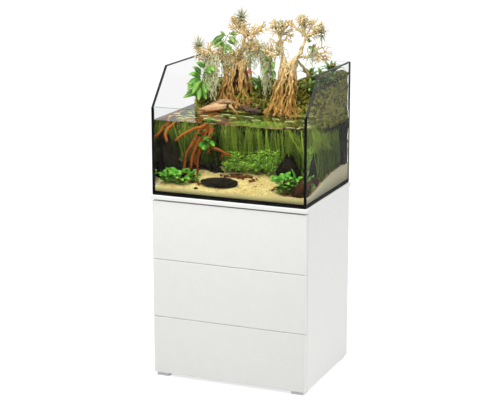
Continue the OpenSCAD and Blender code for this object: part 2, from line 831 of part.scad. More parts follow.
// A block between two height functions over a grid of places. Each place is a function of its row
// and column
module relief(nx, ny, place, low, high) {
    count = (nx + 1) * (ny + 1);
    function at(i, j) = i * (ny + 1) + j;
    // The places along the edge, in order
    edge = concat(
        [for (i = [0 : nx - 1]) [i, 0]], [for (j = [0 : ny - 1]) [nx, j]],
        [for (i = [nx : -1 : 1]) [i, ny]], [for (j = [ny : -1 : 1]) [0, j]]);
    ne = len(edge);
    places = [for (i = [0 : nx], j = [0 : ny]) place(i / nx, j / ny)];
    polyhedron(
        points = concat(
            [for (p = places) [p.x, p.y, high(p.x, p.y)]],
            [for (p = places) [p.x, p.y, low(p.x, p.y)]]),
        faces = concat(
            [for (i = [0 : nx - 1], j = [0 : ny - 1], half = [0, 1])
                half == 0 ? [at(i, j), at(i, j + 1), at(i + 1, j + 1)]
                          : [at(i, j), at(i + 1, j + 1), at(i + 1, j)]],
            [for (i = [0 : nx - 1], j = [0 : ny - 1], half = [0, 1])
                half == 0 ? [count + at(i, j), count + at(i + 1, j + 1), count + at(i, j + 1)]
                          : [count + at(i, j), count + at(i + 1, j), count + at(i + 1, j + 1)]],
            [for (e = [0 : ne - 1], half = [0, 1])
                let (a = edge[e], b = edge[(e + 1) % ne], p = at(a.x, a.y), q = at(b.x, b.y))
                half == 0 ? [p, q, count + q] : [p, count + q, count + p]]));
}

// Places of the sand's grid. It is finer near the glass, and its corners are drawn in, clear of the
// silicone
function sand_place(u, v) =
    let (ends = (u == 0 || u == 1) && (v == 0 || v == 1), pull = ends ? 4 : touch)
    [sin(180 * u - 90) * (drawn_x - pull), sin(180 * v - 90) * (drawn_y - pull)];

module sand_shape() {
    relief(14, 10, function (u, v) sand_place(u, v),
        function (x, y) sand_low + (max(abs(x) / drawn_x, abs(y) / drawn_y) > 0.98 ? bead + touch : 0),
        function (x, y) sand_z(x, y));
}

module sand_bed() {
    color("#d9c48c") planted() sand_shape();
}

// The sand, set a little higher, to cut a seat into what stands on it
module sand_cutter() {
    translate([0, 0, touch]) sand_shape();
}

// The moss bank is a shelf of root and soil at the water line, from a wandering front edge to the
// back pane
bank_under = -36;
stones_y = 170;
function bank_front(x) =
    4 + 10 * sin(x * 1.6 + 20) + 62 * smooth((-x - 205) / 80) - 14 * smooth((x - 190) / 100);
function bank_z(x, y) =
    let (s = (y - bank_front(x)) / 70)
    4 + (66 + 32 * (x + 285) / 580) * smooth(s) + 7 * sin(x * 5.1) * sin(y * 4.3 + 30) * smooth(s * 2)
    + 12 * smooth((y - 120) / 80) + 30 * smooth((x - 110) / 120) * smooth((y - 80) / 90);

// The underside is uneven, but flat where it lies on the rear stones
function bank_low(x, y) =
    bank_under + 8 * sin(x * 3.3) * smooth((stones_y - 8 - y) / 60) * smooth((y - bank_front(x)) / 20);

module bank_shape() {
    relief(24, 8,
        function (u, v)
            let (x = mix(-285, drawn_x - (v == 1 ? bead + 1 : touch), u))
            [x, mix(bank_front(x), drawn_y - touch, pow(v, 1.3))],
        function (x, y) bank_low(x, y),
        function (x, y) bank_z(x, y));
}

module moss_bank() {
    color("#76802c") planted() bank_shape();
}

// Dark stones stacked behind the grass carry the moss bank
module rear_stones() {
    columns = 6;
    step = 2 * drawn_x / columns;
    x = drawn_x - 1;
    y = drawn_y - 1;
    corner = bead + 1;
    color("#2c2620")
        planted()
            difference() {
                intersection() {
                    for (i = [0 : columns - 1], row = [0, 1])
                        let (c = -drawn_x + step * (i + 0.4 + 0.2 * row), s = 20 * i + 7 * row)
                            lump([for (k = [0 : 2])
                                [[c + 40 * cos(120 * k + 60 * row) + 6 * scatter(s + k),
                                  202 + 6 * scatter(s + k + 4),
                                  (row == 0 ? -188 : -92) + 42 * sin(120 * k + 60 * row)], 26]], 5);
                    translate([0, 0, -drawn_depth])
                        linear_extrude(drawn_depth + bank_under - touch)
                            polygon([[-x, stones_y], [x, stones_y], [x, y - corner], [x - corner, y],
                                     [corner - x, y], [-x, y - corner]]);
                }
                sand_cutter();
            }
}

// Driftwood. A bundle of roots rises to a knotted head, stems leave the head, and each stem ends
// in a crown of fine twigs

// Roots from an oval on the ground to a smaller oval at the head
module root_bundle(foot, spread, head, neck, count, r, seed) {
    for (i = [0 : count - 1])
        let (a = 360 * (i + 0.3 * scatter(seed + i)) / count,
             p = foot + [spread.x * cos(a), spread.y * sin(a), 10 * scatter(seed + i + 40)],
             q = head + [neck.x * cos(a), neck.y * sin(a), 10 * scatter(seed + i + 80)] * 0.85)
            limb(bowed(p, q, [-8 * cos(a), -4 * sin(a), 0], 3, 5, seed + 7 * i),
                r * (1 + 0.35 * scatter(seed + i + 120)), r * 0.75, 4);
}

// The head: overlapping knots on an oval
module knotted_head(head, neck, r, seed) {
    for (i = [0 : 4])
        let (a = 72 * i, p = head + [neck.x * cos(a), neck.y * sin(a), 8 * scatter(seed + i)])
            lump([[p, r], [mix(p, head, 0.5) + [0, 0, 12], r * 0.8]], 5);
}

// A crown of branches round a centre, each with twigs that leave it on the way to its end
module crown(base, centre, size, count, r, seed, twigs = 3) {
    for (i = [0 : count - 1])
        let (a = 360 * (i + 0.35 * scatter(seed + i)) / count,
             reach = 0.8 + 0.2 * scatter(seed + i + 20),
             up = scatter(seed + i + 60),
             q = centre + [size.x * cos(a) * reach, size.y * sin(a) * reach, size.z * up],
             path = bowed(base, q, [0, 0, 10 * up - 6], 2, 5, seed + 9 * i)) {
            limb(path, r, tip_r * 1.5, 4);
            for (k = [0 : twigs - 1])
                let (p = mix(path[1], path[2], 0.25 * k), out = unit(q - centre + [0, 0, 12]),
                     turn = scatter3(seed + 31 * i + 5 * k),
                     tip = p + (out * 0.8 + turn * 0.75 + [0, 0, 0.35]) * (28 + 8 * scatter(seed + i + k)))
                    limb([p, tip], r * 0.45, tip_r, 3);
        }
}

left_head = [-84, 46, 186];
left_neck = [56, 18];

module driftwood_left_shape() {
    top = left_wood_h * in_drawing_z;
    root_bundle([-84, 46, 44], [58, 34], left_head, left_neck, 15, 6.5, 11);
    knotted_head(left_head, left_neck, 13, 60);
    limb([left_head, [-66, 46, 215], [-56, 48, 250], [-50, 50, top - 26]], 11, 6, 6);
    crown([-50, 50, top - 28], [-46, 50, top + 6], [74, 46, 30], 9, 4.5, 100);
    crown([-50, 48, 226], [2, 44, 238], [46, 28, 18], 4, 3.5, 150, 2);
    limb([[-128, 40, 190], [-160, 30, 200], [-232, 34, 220]], 7, 3.5, 5);
    limb([[-120, 56, 186], [-150, 74, 194], [-186, 84, 200]], 6, 4, 5);
    crown([-160, 30, 200], [-190, 30, 216], [56, 42, 18], 6, 3.5, 200);
    crown([-110, 48, 196], [-104, 42, 222], [54, 40, 18], 5, 3.5, 250, 2);
}

right_head = [134, 24, 184];
right_neck = [26, 13];

module driftwood_right_shape() {
    top = right_wood_h * in_drawing_z;
    root_bundle([120, 20, 20], [60, 30], right_head, right_neck, 13, 6, 311);
    knotted_head(right_head, right_neck, 12, 360);
    limb([[124, 24, 184], [112, 24, 216], [106, 22, 250], [102, 20, top - 34]], 11, 5, 6);
    limb([[146, 24, 184], [166, 26, 222], [184, 30, 256], [196, 32, top - 24]], 12, 5, 6);
    limb([[166, 26, 218], [206, 28, 222], [244, 32, 236]], 6, 4, 5);
    crown([102, 20, top - 36], [100, 22, top - 10], [44, 34, 32], 7, 3.5, 400);
    crown([108, 24, 230], [72, 22, 240], [30, 20, 20], 3, 3, 440, 2);
    crown([196, 32, top - 26], [197, 34, top + 6], [62, 46, 34], 9, 4, 460);
    crown([244, 32, 236], [252, 34, 238], [34, 26, 18], 4, 3, 500, 2);
    limb([[196, 118, 60], [190, 104, 120], [180, 78, 160], [160, 32, 210]], 9, 6, 5);
}

module driftwood_left() {
    color("#b98a5a") planted() difference() {
        driftwood_left_shape();
        bank_shape();
    }
}

module driftwood_right() {
    color("#c39461") planted() difference() {
        driftwood_right_shape();
        bank_shape();
    }
}

// The broken log that floats against the bank
module log_shape() {
    trunk = [
        [[-202, -26, 3], 7], [[-168, -12, 12], 15], [[-132, 2, 24], 21], [[-96, 12, 30], 22],
        [[-66, 22, 24], 16]];
    branch = [[[-66, 18, 20], 13], [[-20, 4, 16], 11], [[30, 2, 12], 7]];
    for (i = [0 : 3]) lump([trunk[i], trunk[i + 1]], 7);
    for (i = [0 : 1]) lump([branch[i], branch[i + 1]], 6);
    stubs = [[[-150, -6, 24], [-162, -22, 34]], [[-110, 4, 40], [-118, -10, 54]],
             [[-84, 8, 26], [-56, -26, 4]]];
    for (s = stubs) lump([[s[0], 6], [s[1], 2.5]], 5);
}

module surface_log() {
    color("#b4805a") planted() difference() {
        log_shape();
        bank_shape();
        driftwood_left_shape();
    }
}

// Roots that reach down from the log and the bank into the water
WATER_ROOTS = [
    [[-150, 24, -22], [-165, -60, -41], [-205, -112, -55], [-234, -150, -84]],
    [[-152, 22, -20], [-176, -50, -70], [-206, -84, -130], [-210, -92, -180], [-226, -104, -232]],
    [[-148, 20, -20], [-168, -46, -80], [-188, -80, -150], [-200, -100, -234]],
    [[-146, 20, -22], [-166, -40, -90], [-184, -58, -140], [-182, -60, -183]],
    [[-144, 22, -22], [-160, -36, -100], [-170, -56, -160], [-178, -62, -234]],
    [[-142, 24, -24], [-136, -36, -96], [-134, -50, -136]],
    [[-138, 26, -24], [-128, -44, -104], [-88, -58, -120], [-42, -62, -136]],
    [[-262, 84, -30], [-282, -30, -28], [-285, -160, -38], [-264, -204, -74]]];

module water_roots_shape() {
    for (i = [0 : len(WATER_ROOTS) - 1]) limb(WATER_ROOTS[i], 5.2, 3.2, 5);
}

module water_roots() {
    color("#a04a1c") planted() difference() {
        water_roots_shape();
        bank_shape();
        log_shape();
        sand_cutter();
    }
}

// Stones and a dark root on the sand. Each stone is a ring of balls round its place, with its
// half size, the radius of its edge and its seed
STONES = [
    [[-68, -118, -232], [58, 46, 5], 9, 3],
    [[-262, -30, -176], [18, 30, 56], 14, 17],
    [[-232, -2, -204], [30, 28, 26], 14, 25],
    [[164, -30, -180], [30, 26, 40], 14, 31],
    [[132, -34, -208], [30, 22, 14], 11, 45],
    [[-166, 18, -218], [12, 12, 10], 11, 52],
    [[-134, -206, -246], [3, 7, 2], 4, 61],
    [[-24, -8, -222], [48, 12, 3], 7, 73],
    [[76, -118, -240], [4, 3, 2], 5, 84]];

module stone(s) {
    lump([for (k = [0 : 5])
        let (a = 60 * k + 20 * scatter(s[3] + k), f = 0.85 + 0.15 * scatter(s[3] + k + 9))
        [s[0] + [s[1].x * cos(a) * f, s[1].y * sin(a) * f, s[1].z * scatter(s[3] + k + 20)],
         s[2] * (0.9 + 0.1 * scatter(s[3] + k + 30))]], 5);
}

module ground_stones_shape() {
    for (s = STONES) stone(s);
    limb([[190, -112, -222], [216, -150, -212], [246, -186, -224], [270, -208, -236]], 14, 9, 6);
}

module ground_stones() {
    color("#231f1b") planted() difference() {
        ground_stones_shape();
        sand_cutter();
    }
}

// Plants

// Tufts of grass along the back, the left and the right, with the places of their crowns
TUFTS = concat(
    [for (i = [0 : 6]) [mix(-226, 196, i / 6), 128 + 14 * scatter(i)]],
    [for (i = [0 : 1]) [-264 + 6 * i, mix(66, 124, i)]],
    [for (i = [0 : 2]) [262, mix(-60, 130, i / 2)]]);
// The longest blades on the left float out over the water, and carry the pale floating leaves
FLOATERS = [
    [[-262, 66], [-262, -96, -2]], [[-262, 66], [-196, -112, -2]], [[-60, 122], [-84, -50, -2]],
    [[262, 4], [182, -84, -2]], [[262, -60], [254, -116, -2]]];

module tuft(place, seed, blades = 5) {
    foot = [place.x, place.y, sand_z(place.x, place.y) + 2];
    lump([[foot, 6], [foot + [0, 0, 10], 3]], 5);
    for (i = [0 : blades - 1])
        let (a = 360 * i / blades + 40 * scatter(seed + i),
             top = foot + [9 * cos(a), 9 * sin(a), -foot.z + bank_under - 26 + 10 * scatter(seed + i + 5)])
            strap(
                bowed(foot + [3 * cos(a), 3 * sin(a), 4], top, [8 * cos(a), 6 * sin(a), 0], 2, 2, seed + i),
                blade, thin, [sin(a), cos(a), 0]);
}

module grass_shape() {
    for (i = [0 : len(TUFTS) - 1]) tuft(TUFTS[i], 20 * i);
    for (f = FLOATERS)
        let (foot = [f[0].x, f[0].y, sand_z(f[0].x, f[0].y) - 8], q = f[1])
            strap([foot, mix(foot, q, 0.5) + [0, -30, 20], q + [-14, 26, -4], q, q + [16, -6, 1]],
                blade * 1.3, thin, [0, 1, 0.2]);
}

module grass() {
    color("#6d8a2a") planted() difference() {
        grass_shape();
        sand_cutter();
        bank_shape();
        water_roots_shape();
        ground_stones_shape();
    }
}

// Bushy stem plants behind the flat stone
module stem_plants_shape() {
    for (i = [0 : 9])
        let (x = -84 + 19 * i, y = 26 + 14 * scatter(i + 3),
             h = 70 + 22 * scatter(i + 9) + (i > 5 ? 14 : 0),
             foot = [x, y, sand_z(x, y) - 3], top = foot + [8 * scatter(i), -12, h]) {
            lump([[foot, 5], [foot + [0, 0, 8], 3]], 5);
            limb([foot, top], 1.8, 1.2, 4);
            for (k = [0 : 4])
                let (p = mix(foot, top, 0.3 + 0.16 * k), a = 137 * k + 50 * i)
                    spindle(p,
                        [oval(p + [9 * cos(a), 9 * sin(a), 6], unit([cos(a), sin(a), 0.5]), [0, 0, 1],
                            3.4, thin / 2, 4)],
                        p + [21 * cos(a), 21 * sin(a), 10]);
        }
}

module stem_plants() {
    color("#5f9a22") planted() difference() {
        stem_plants_shape();
        sand_cutter();
        ground_stones_shape();
        water_roots_shape();
    }
}

// Broad-leaved plants: a creeping rhizome, and leaves on stalks
BROAD = [
    [[-254, -176], [18, 18], 7, 0], [[-218, -160], [18, 14], 5, 30], [[-172, -120], [14, 12], 5, 45],
    [[200, -176], [30, 22], 8, 60], [[240, -150], [26, 20], 7, 90]];

// Leaves that grow on the roots in the water, with the places of their stalks and their directions
ROOT_LEAVES = [
    [[-160, -36, -100], [0.3, -0.8, -0.5]], [[-160, -36, -100], [-0.5, -0.7, -0.4]],
    [[-166, -40, -90], [-0.3, -0.6, 0.7]], [[-136, -36, -96], [0.7, -0.6, -0.2]],
    [[-136, -36, -96], [0.2, -0.8, 0.5]], [[-136, -36, -96], [-0.2, -0.7, -0.7]]];

module broad_leaf_shape() {
    for (l = ROOT_LEAVES)
        let (d = unit(l[1])) leaf(l[0], l[0] + d * 9, l[0] + d * (9 + broad_l * 0.6), broad_l * 0.4, 3);
    for (b = BROAD)
        let (root = [b[0].x, b[0].y, sand_z(b[0].x, b[0].y) + 2]) {
            for (s = [-1, 1]) lump([[root, 5], [root + [14 * s, 6, 3], 4]], 5);
            for (i = [0 : b[2] - 1])
                let (a = 360 * i / b[2] + 30 * scatter(b[3] + i),
                     h = 26 + 12 * scatter(b[3] + i + 5) + b[1].x / 2 * (i % 3),
                     p = root + [b[1].x * cos(a), b[1].y * sin(a), h],
                     d = [cos(a), sin(a), 0.45 + 0.35 * scatter(b[3] + i + 9)],
                     q = p + d * broad_l * 0.64)
                    leaf(root, p, q, broad_l * 0.52, 3);
        }
}

module broad_leaf_plants() {
    color("#3f7d2a") planted() difference() {
        intersection() {
            broad_leaf_shape();
            translate([-drawn_x + 2, -drawn_y + 2, -drawn_depth])
                cube([2 * drawn_x - 4, 2 * drawn_y - 4, drawn_depth]);
        }
        sand_cutter();
        ground_stones_shape();
        water_roots_shape();
    }
}

// A climber up the left of the driftwood, with pointed leaves
CLIMBER_STEM = [[-212, 70, 40], [-220, 40, 78], [-206, 10, 110], [-190, -4, 150], [-168, 4, 180]];
CLIMBER_LEAVES = [
    [[-217, 34, 84], [-0.95, -0.5, -0.3]], [[-214, 20, 96], [-0.6, -0.5, 0.45]],
    [[-210, 14, 104], [0.1, -0.6, 0.7]], [[-206, 8, 112], [-0.6, -0.4, 0.6]],
    [[-200, 2, 126], [0.75, -0.4, 0.3]], [[-196, 0, 138], [-0.5, -0.5, 0.65]],
    [[-192, -2, 146], [0.8, -0.3, 0.5]], [[-218, 36, 84], [0.6, -0.6, 0.1]],
    [[-172, 2, 176], [0.5, -0.6, 0.5]]];
HIGH_STEM = [[-104, 34, 196], [-120, 22, 226], [-120, 16, 256], [-108, 18, 282]];
HIGH_LEAVES = [
    [[-121, 18, 250], [-0.7, -0.4, -0.5]], [[-120, 17, 262], [-0.9, -0.4, -0.1]],
    [[-116, 17, 270], [-0.5, -0.6, -0.5]], [[-110, 18, 278], [0.8, -0.4, -0.3]],
    [[-109, 18, 281], [-0.7, -0.4, 0.4]], [[-118, 17, 264], [0.6, -0.5, -0.4]]];

module climber_shape() {
    limb(CLIMBER_STEM, 3, 2, 5);
    limb(HIGH_STEM, 2.4, 1.6, 5);
    for (l = concat(CLIMBER_LEAVES, HIGH_LEAVES))
        let (d = unit(l[1]))
            leaf(l[0] - d * 3, l[0] + d * 9, l[0] + d * (9 + climber_l), climber_l * 0.42, 3);
}

module climber() {
    color("#5f9f2a") planted() difference() {
        climber_shape();
        bank_shape();
        driftwood_left_shape();
        log_shape();
    }
}

// A rosette of straps that rise from a cup and arch over
module rosette(root, leaves, length, width, arch, seed, sides = 4) {
    lump([[root, width * 0.7], [root + [0, 0, length * 0.16], width * 0.5]], 5);
    for (i = [0 : leaves - 1])
        let (a = 360 * i / leaves + 25 * scatter(seed + i), el = 40 + 22 * scatter(seed + i + 7),
             out = [cos(a) * cos(el), sin(a) * cos(el), sin(el)],
             l = length * (0.85 + 0.15 * scatter(seed + i + 11)))
            strap([root + [0, 0, 1], root + out * l * 0.4, root + out * l * 0.75 - [0, 0, l * arch * 0.3],
                root + out * l - [0, 0, l * arch]], width, thin, [sin(a), -cos(a), 0.2], sides);
}

BROMELIADS = [
    [[236, 96, 120], 9, 1, 3], [[262, 150, 150], 9, 0.9, 40], [[206, 60, 92], 7, 0.8, 80],
    [[22, 76, 96], 8, 0.8, 120]];

module bromeliads_shape() {
    intersection() {
        for (b = BROMELIADS) {
            rosette(b[0], b[1], bromeliad_l * b[2], 12 * b[2], 0.35, b[3]);
            limb([[b[0].x, b[0].y, bank_z(b[0].x, b[0].y) - 6], b[0] - [0, 0, 10], b[0]], 4, 4, 5);
        }
        translate([-drawn_x + 2, -drawn_y + 2, 0]) cube([2 * drawn_x - 4, 2 * drawn_y - 4, 2 * drawn_depth]);
    }
}

module bromeliads() {
    color("#5c8233") planted() difference() {
        bromeliads_shape();
        bank_shape();
        driftwood_right_shape();
        driftwood_left_shape();
    }
}

AIR_PLANTS = [
    [[-62, 48, left_wood_h * in_drawing_z + 30], 10, 1, 5], [[-230, 34, 234], 9, 1, 45],
    [[104, 16, right_wood_h * in_drawing_z + 6], 8, 0.8, 95],
    [[256, 32, right_wood_h * in_drawing_z - 8], 9, 1, 135],
    [[182, 30, right_wood_h * in_drawing_z + 30], 7, 0.7, 175]];

module air_plants() {
    color("#8f9a74") planted() difference() {
        for (p = AIR_PLANTS) {
            rosette(p[0], p[1], air_l * p[2], 7, 0.1, p[3], 3);
            limb([p[0] - [0, 0, 56], p[0] - [0, 0, 14], p[0]], 2.2, 4, 5);
        }
        driftwood_left_shape();
        driftwood_right_shape();
    }
}

// Beard moss hangs in strands from the twigs. Each hank has its top, its half width, its length
// and its seed
HANKS = [
    [[-162, 6, 200], [30, 8], 160, 3],
    [[36, 46, 246], [22, 8], 200, 60],
    [[-20, 34, 232], [20, 8], 70, 90]];

module hanging_moss() {
    color("#9aa07c") planted() difference() {
        for (h = HANKS) {
            for (s = [-1, 1]) lump([[h[0], 6], [h[0] + [h[1].x * s, 0, 0], 5]], 5);
            for (i = [0 : 8])
                let (u = mix(-1, 1, i / 8), p = h[0] + [h[1].x * u, h[1].y * scatter(h[3] + i), -1],
                     l = h[2] * (0.72 + 0.28 * scatter(h[3] + i + 20)))
                    limb(
                        bowed(p, p - [6 * scatter(h[3] + i + 30), 4, l],
                            [3 * scatter(h[3] + i + 40), -3, 0], 3, 3, h[3] + 5 * i),
                        2.6, 1.2, 3);
        }
        driftwood_left_shape();
        driftwood_right_shape();
        bank_shape();
        log_shape();
        climber_shape();
        bromeliads_shape();
    }
}

cabinet_top();
side_panel(-1);  // side_panel_left
side_panel(1);  // side_panel_right
base_panel();
back_panel();
top_rail();
divider_rails();
foot_pads();
foot_screws();
cam_locks();
cam_bolts();
runner_outers();
side_panel_screws();
latch_housings();
for (k = [0 : 2]) {
    drawer_front(k);
    drawer_sides(k);
    drawer_back(k);
    drawer_base(k);
    drawer_runners(k);
    drawer_fittings(k);
    drawer_slides(k);
    drawer_latch_plunger(k);
}
tank_mat();
tank_bottom_pane();
tank_front_pane();
tank_back_pane();
tank_side_panes();
tank_silicone();
edge_trims();
sand_bed();
rear_stones();
moss_bank();
driftwood_left();
driftwood_right();
surface_log();
water_roots();
ground_stones();
grass();
stem_plants();
broad_leaf_plants();
climber();
bromeliads();
air_plants();
hanging_moss();
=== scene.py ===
import math
import random

import bmesh
import bpy
import numpy as np
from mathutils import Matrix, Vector, noise


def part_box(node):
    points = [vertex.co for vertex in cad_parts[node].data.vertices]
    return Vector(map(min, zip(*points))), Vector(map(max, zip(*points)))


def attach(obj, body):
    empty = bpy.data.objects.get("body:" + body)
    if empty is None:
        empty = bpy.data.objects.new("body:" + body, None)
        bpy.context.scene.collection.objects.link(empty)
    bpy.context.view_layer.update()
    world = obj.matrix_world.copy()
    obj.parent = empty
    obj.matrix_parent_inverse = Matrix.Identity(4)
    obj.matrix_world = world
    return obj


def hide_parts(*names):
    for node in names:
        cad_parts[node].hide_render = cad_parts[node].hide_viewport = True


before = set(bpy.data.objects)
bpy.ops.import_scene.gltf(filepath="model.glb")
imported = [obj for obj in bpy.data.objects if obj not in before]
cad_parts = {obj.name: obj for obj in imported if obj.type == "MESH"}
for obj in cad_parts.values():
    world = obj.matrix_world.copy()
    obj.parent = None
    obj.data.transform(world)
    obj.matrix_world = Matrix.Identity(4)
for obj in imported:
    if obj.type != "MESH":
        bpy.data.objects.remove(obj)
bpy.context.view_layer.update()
noise.seed_set(7)  # without it, paths wind in another way in each run

STAND = "cabinet_and_tank"

# Places. The planting is laid out in millimetres round the middle of the water surface, as in the
# part's source, and each piece turns its places into metres at the end.

tank_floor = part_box("tank_bottom_pane")[1].z
water_depth = 269
water_level = tank_floor + water_depth / 1000
half_x, half_y = 294, 229  # to the inner faces of the panes
bank_under = -36
# How far from the middle feet of grass may stand, and blades, leaves and needles may reach
foot_reach, blade_reach, leaf_reach, needle_reach = 284, 286, 288, 300


UP = Vector((0, 0, 1))


def at(x, y, z=0.0):
    return Vector((x, y, z))


def spot(p):
    """The place in metres from the floor."""
    return Vector(p) / 1000 + UP * water_level


def sind(degrees):
    return math.sin(math.radians(degrees))


def cosd(degrees):
    return math.cos(math.radians(degrees))


def held(value, low, high):
    return max(low, min(high, value))


def smooth(t):
    t = held(t, 0.0, 1.0)
    return t * t * (3 - 2 * t)


def mix(a, b, t):
    return a + (b - a) * t


def ray(angle, z=0.0):
    """One step out from an upright axis."""
    return at(cosd(angle), sind(angle), z)


def oval(size, angle, share, z):
    """A place round an upright axis, at a share of the way to an oval."""
    return at(size[0] * cosd(angle) * share, size[1] * sind(angle) * share, z)


def scatter(k):
    """A fixed value between -1 and 1 for each number."""
    s = sind(k * 78.233 + 37.1) * 4375.8545
    return (s - math.floor(s)) * 2 - 1


class Dice(random.Random):
    """Seeded chance, which falls the same way each time."""

    def within(self, *ranges):
        """A vector with a range for each direction."""
        return Vector([self.uniform(low, high) for low, high in ranges])

    def nudge(self, reach):
        return self.within(*[(-reach, reach)] * 3)


def bowed(p, q, bow, steps, wander, seed):
    """A path from p to q that bows by a vector and wanders a little on the way."""
    p, q, bow = Vector(p), Vector(q), Vector(bow)
    path = []
    for i in range(steps + 1):
        t = i / steps
        free = 4 * t * (1 - t)
        stray = Vector([scatter(seed + i + part) for part in (0, 0.37, 0.71)])
        path.append(mix(p, q, t) + bow * free + stray * wander * min(1, free))
    return path


def flowing(path, per_span=4):
    """More points on a smooth curve through the points of a path."""
    pts = [Vector(p) for p in path]
    ends = [pts[0] * 2 - pts[1]] + pts + [pts[-1] * 2 - pts[-2]]
    out = []
    for a, b, c, d in zip(ends, ends[1:], ends[2:], ends[3:]):
        for k in range(per_span):
            t = k / per_span
            out.append(0.5 * (2 * b + (c - a) * t + (2 * a - 5 * b + 4 * c - d) * t * t
                              + (3 * b - a - 3 * c + d) * t ** 3))
    return out + [pts[-1]]


def gnarled(path, amount, pitch, rng, per_span=4):
    """A flowing path that also winds to and fro, but keeps its ends."""
    pts = flowing(path, per_span)
    shift = rng.within(*[(0, 60)] * 3)
    last = len(pts) - 1
    free = [min(1, 4 * i / last * (1 - i / last) * 1.6) for i in range(len(pts))]
    return [p + noise.noise_vector(p / pitch + shift) * amount * share
            for p, share in zip(pts, free)]


def sand_z(x, y):
    return (-water_depth + 20 + 42 * smooth((y + half_y) / 300)
            + 2.5 * sind(x * 1.9 + 40) * cosd(y * 1.3)
            + 4 * smooth((x - 60) / 200) + 3 * smooth((-x - 160) / 100))


def on_sand(x, y, lift):
    return at(x, y, sand_z(x, y) + lift)


def bank_front(x):
    return (4 + 10 * sind(x * 1.6 + 20) + 62 * smooth((-x - 205) / 80)
            - 14 * smooth((x - 190) / 100))


def bank_plan(across, back):
    """The place for a share across the bank and a share towards the back. Its front corners are
    rounded."""
    left = -285 + 56 * (1 - smooth(back * 2.2))
    right = half_x - 1 - 40 * (1 - smooth(back * 3))
    x = mix(left, right, across)
    return x, mix(bank_front(x), half_y - 1, back ** 1.3)


def bank_z(x, y):
    s = (y - bank_front(x)) / 70
    return (4 + (66 + 32 * (x + 285) / 580) * smooth(s)
            + 7 * sind(x * 5.1) * sind(y * 4.3 + 30) * smooth(s * 2)
            + 12 * smooth((y - 120) / 80) + 30 * smooth((x - 110) / 120) * smooth((y - 80) / 90))


# Finishes


def tint(code):
    """The linear colour of a six-digit screen colour."""
    parts = [int(code[i : i + 2], 16) / 255 for i in (0, 2, 4)]
    linear = [c / 12.92 if c <= 0.04045 else ((c + 0.055) / 1.055) ** 2.4 for c in parts]
    return (*linear, 1.0)


class Shading:
    """A node tree with short ways to add what the finishes need. A colour may be given by its
    code."""

    def __init__(self, tree):
        self.tree = tree

    def add(self, kind, sockets=None, **settings):
        """Adds a node, makes its settings, and sets or links its inputs."""
        node = self.tree.nodes.new(kind)
        for name, value in settings.items():
            setattr(node, name, value)
        for key, value in (sockets or {}).items():
            if isinstance(value, bpy.types.NodeSocket):
                self.tree.links.new(value, node.inputs[key])
            else:
                node.inputs[key].default_value = tint(value) if isinstance(value, str) else value
        return node

    def calc(self, operation, a, b=0.0):
        return self.add("ShaderNodeMath", {0: a, 1: b}, operation=operation).outputs[0]

    def times(self, a, b):
        return self.calc("MULTIPLY", a, b)

    def split(self, vector):
        return self.add("ShaderNodeSeparateXYZ", {0: vector}).outputs

    def blend(self, factor, a, b):
        return self.add("ShaderNodeMix", {0: factor, 6: a, 7: b}, data_type="RGBA").outputs[2]

    def band(self, value, low, high, to_low=0.0, to_high=1.0):
        ends = {0: value, 1: low, 2: high, 3: to_low, 4: to_high}
        return self.add("ShaderNodeMapRange", ends, interpolation_type="SMOOTHSTEP").outputs[0]

    def clouds(self, vector, scale, detail=4.0, roughness=0.55):
        sockets = {"Vector": vector, "Scale": scale, "Detail": detail, "Roughness": roughness}
        return self.add("ShaderNodeTexNoise", sockets).outputs[0]

    def layered(self, factor, first, second):
        """Mixes the shaders of two nodes."""
        sockets = {0: factor, 1: first.outputs[0], 2: second.outputs[0]}
        return self.add("ShaderNodeMixShader", sockets)

    def any_ray(self, *kinds):
        """1 for a ray of one of these kinds."""
        rays = self.add("ShaderNodeLightPath").outputs
        found = rays[kinds[0]]
        for kind in kinds[1:]:
            found = self.calc("MAXIMUM", found, rays[kind])
        return found


def effect(build, inputs, outputs):
    """A shader group with named sockets and their kinds. build makes its outputs in their order."""
    tree = bpy.data.node_groups.new(build.__name__, "ShaderNodeTree")
    for way, sockets in (("INPUT", inputs), ("OUTPUT", outputs)):
        for label, kind in sockets.items():
            tree.interface.new_socket(label, in_out=way, socket_type="NodeSocket" + kind)
    got = tree.nodes.new("NodeGroupInput").outputs
    out = tree.nodes.new("NodeGroupOutput").inputs
    for label, value in zip(outputs, build(Shading(tree), got)):
        tree.links.new(value, out[label])
    return tree


def mottle(s, got):
    """Three colours in clouds and flecks."""
    clouds = s.clouds(got["Vector"], got["Scale"], 5)
    flecks = s.clouds(got["Vector"], s.times(got["Scale"], 4.3), 3)
    ground = s.blend(s.band(clouds, 0.36, 0.64), got["First"], got["Second"])
    return [s.blend(s.times(s.band(flecks, 0.52, 0.68), got["Amount"]), ground, got["Flecks"])]


def fibres(s, got):
    """Streaks that run along the axis whose stretch is small."""
    drawn = s.add("ShaderNodeVectorMath", {0: got["Vector"], 1: got["Stretch"]},
                  operation="MULTIPLY").outputs[0]
    wide = s.clouds(drawn, got["Scale"], 6, 0.62)
    fine = s.clouds(drawn, s.times(got["Scale"], 3.1), 4, 0.6)
    return s.band(wide, 0.35, 0.68), s.calc("ADD", wide, s.times(fine, 0.6))


def grains(s, got):
    """Loose grains: a tone for each grain, and the round of its top."""
    cells = s.add("ShaderNodeTexVoronoi", {"Vector": got["Vector"], "Scale": got["Scale"]}).outputs
    tone = s.add("ShaderNodeSeparateColor", {0: cells["Color"]}).outputs[0]
    return tone, s.calc("SUBTRACT", 1.0, cells["Distance"])


def skin(s, got):
    """The fine unevenness of a moulded, foiled or painted face, and where it is a little duller."""
    fine = s.clouds(got["Vector"], got["Scale"], 3, 0.5)
    broad = s.clouds(got["Vector"], s.times(got["Scale"], 0.02), 4, 0.6)
    return fine, s.band(broad, 0.3, 0.7)


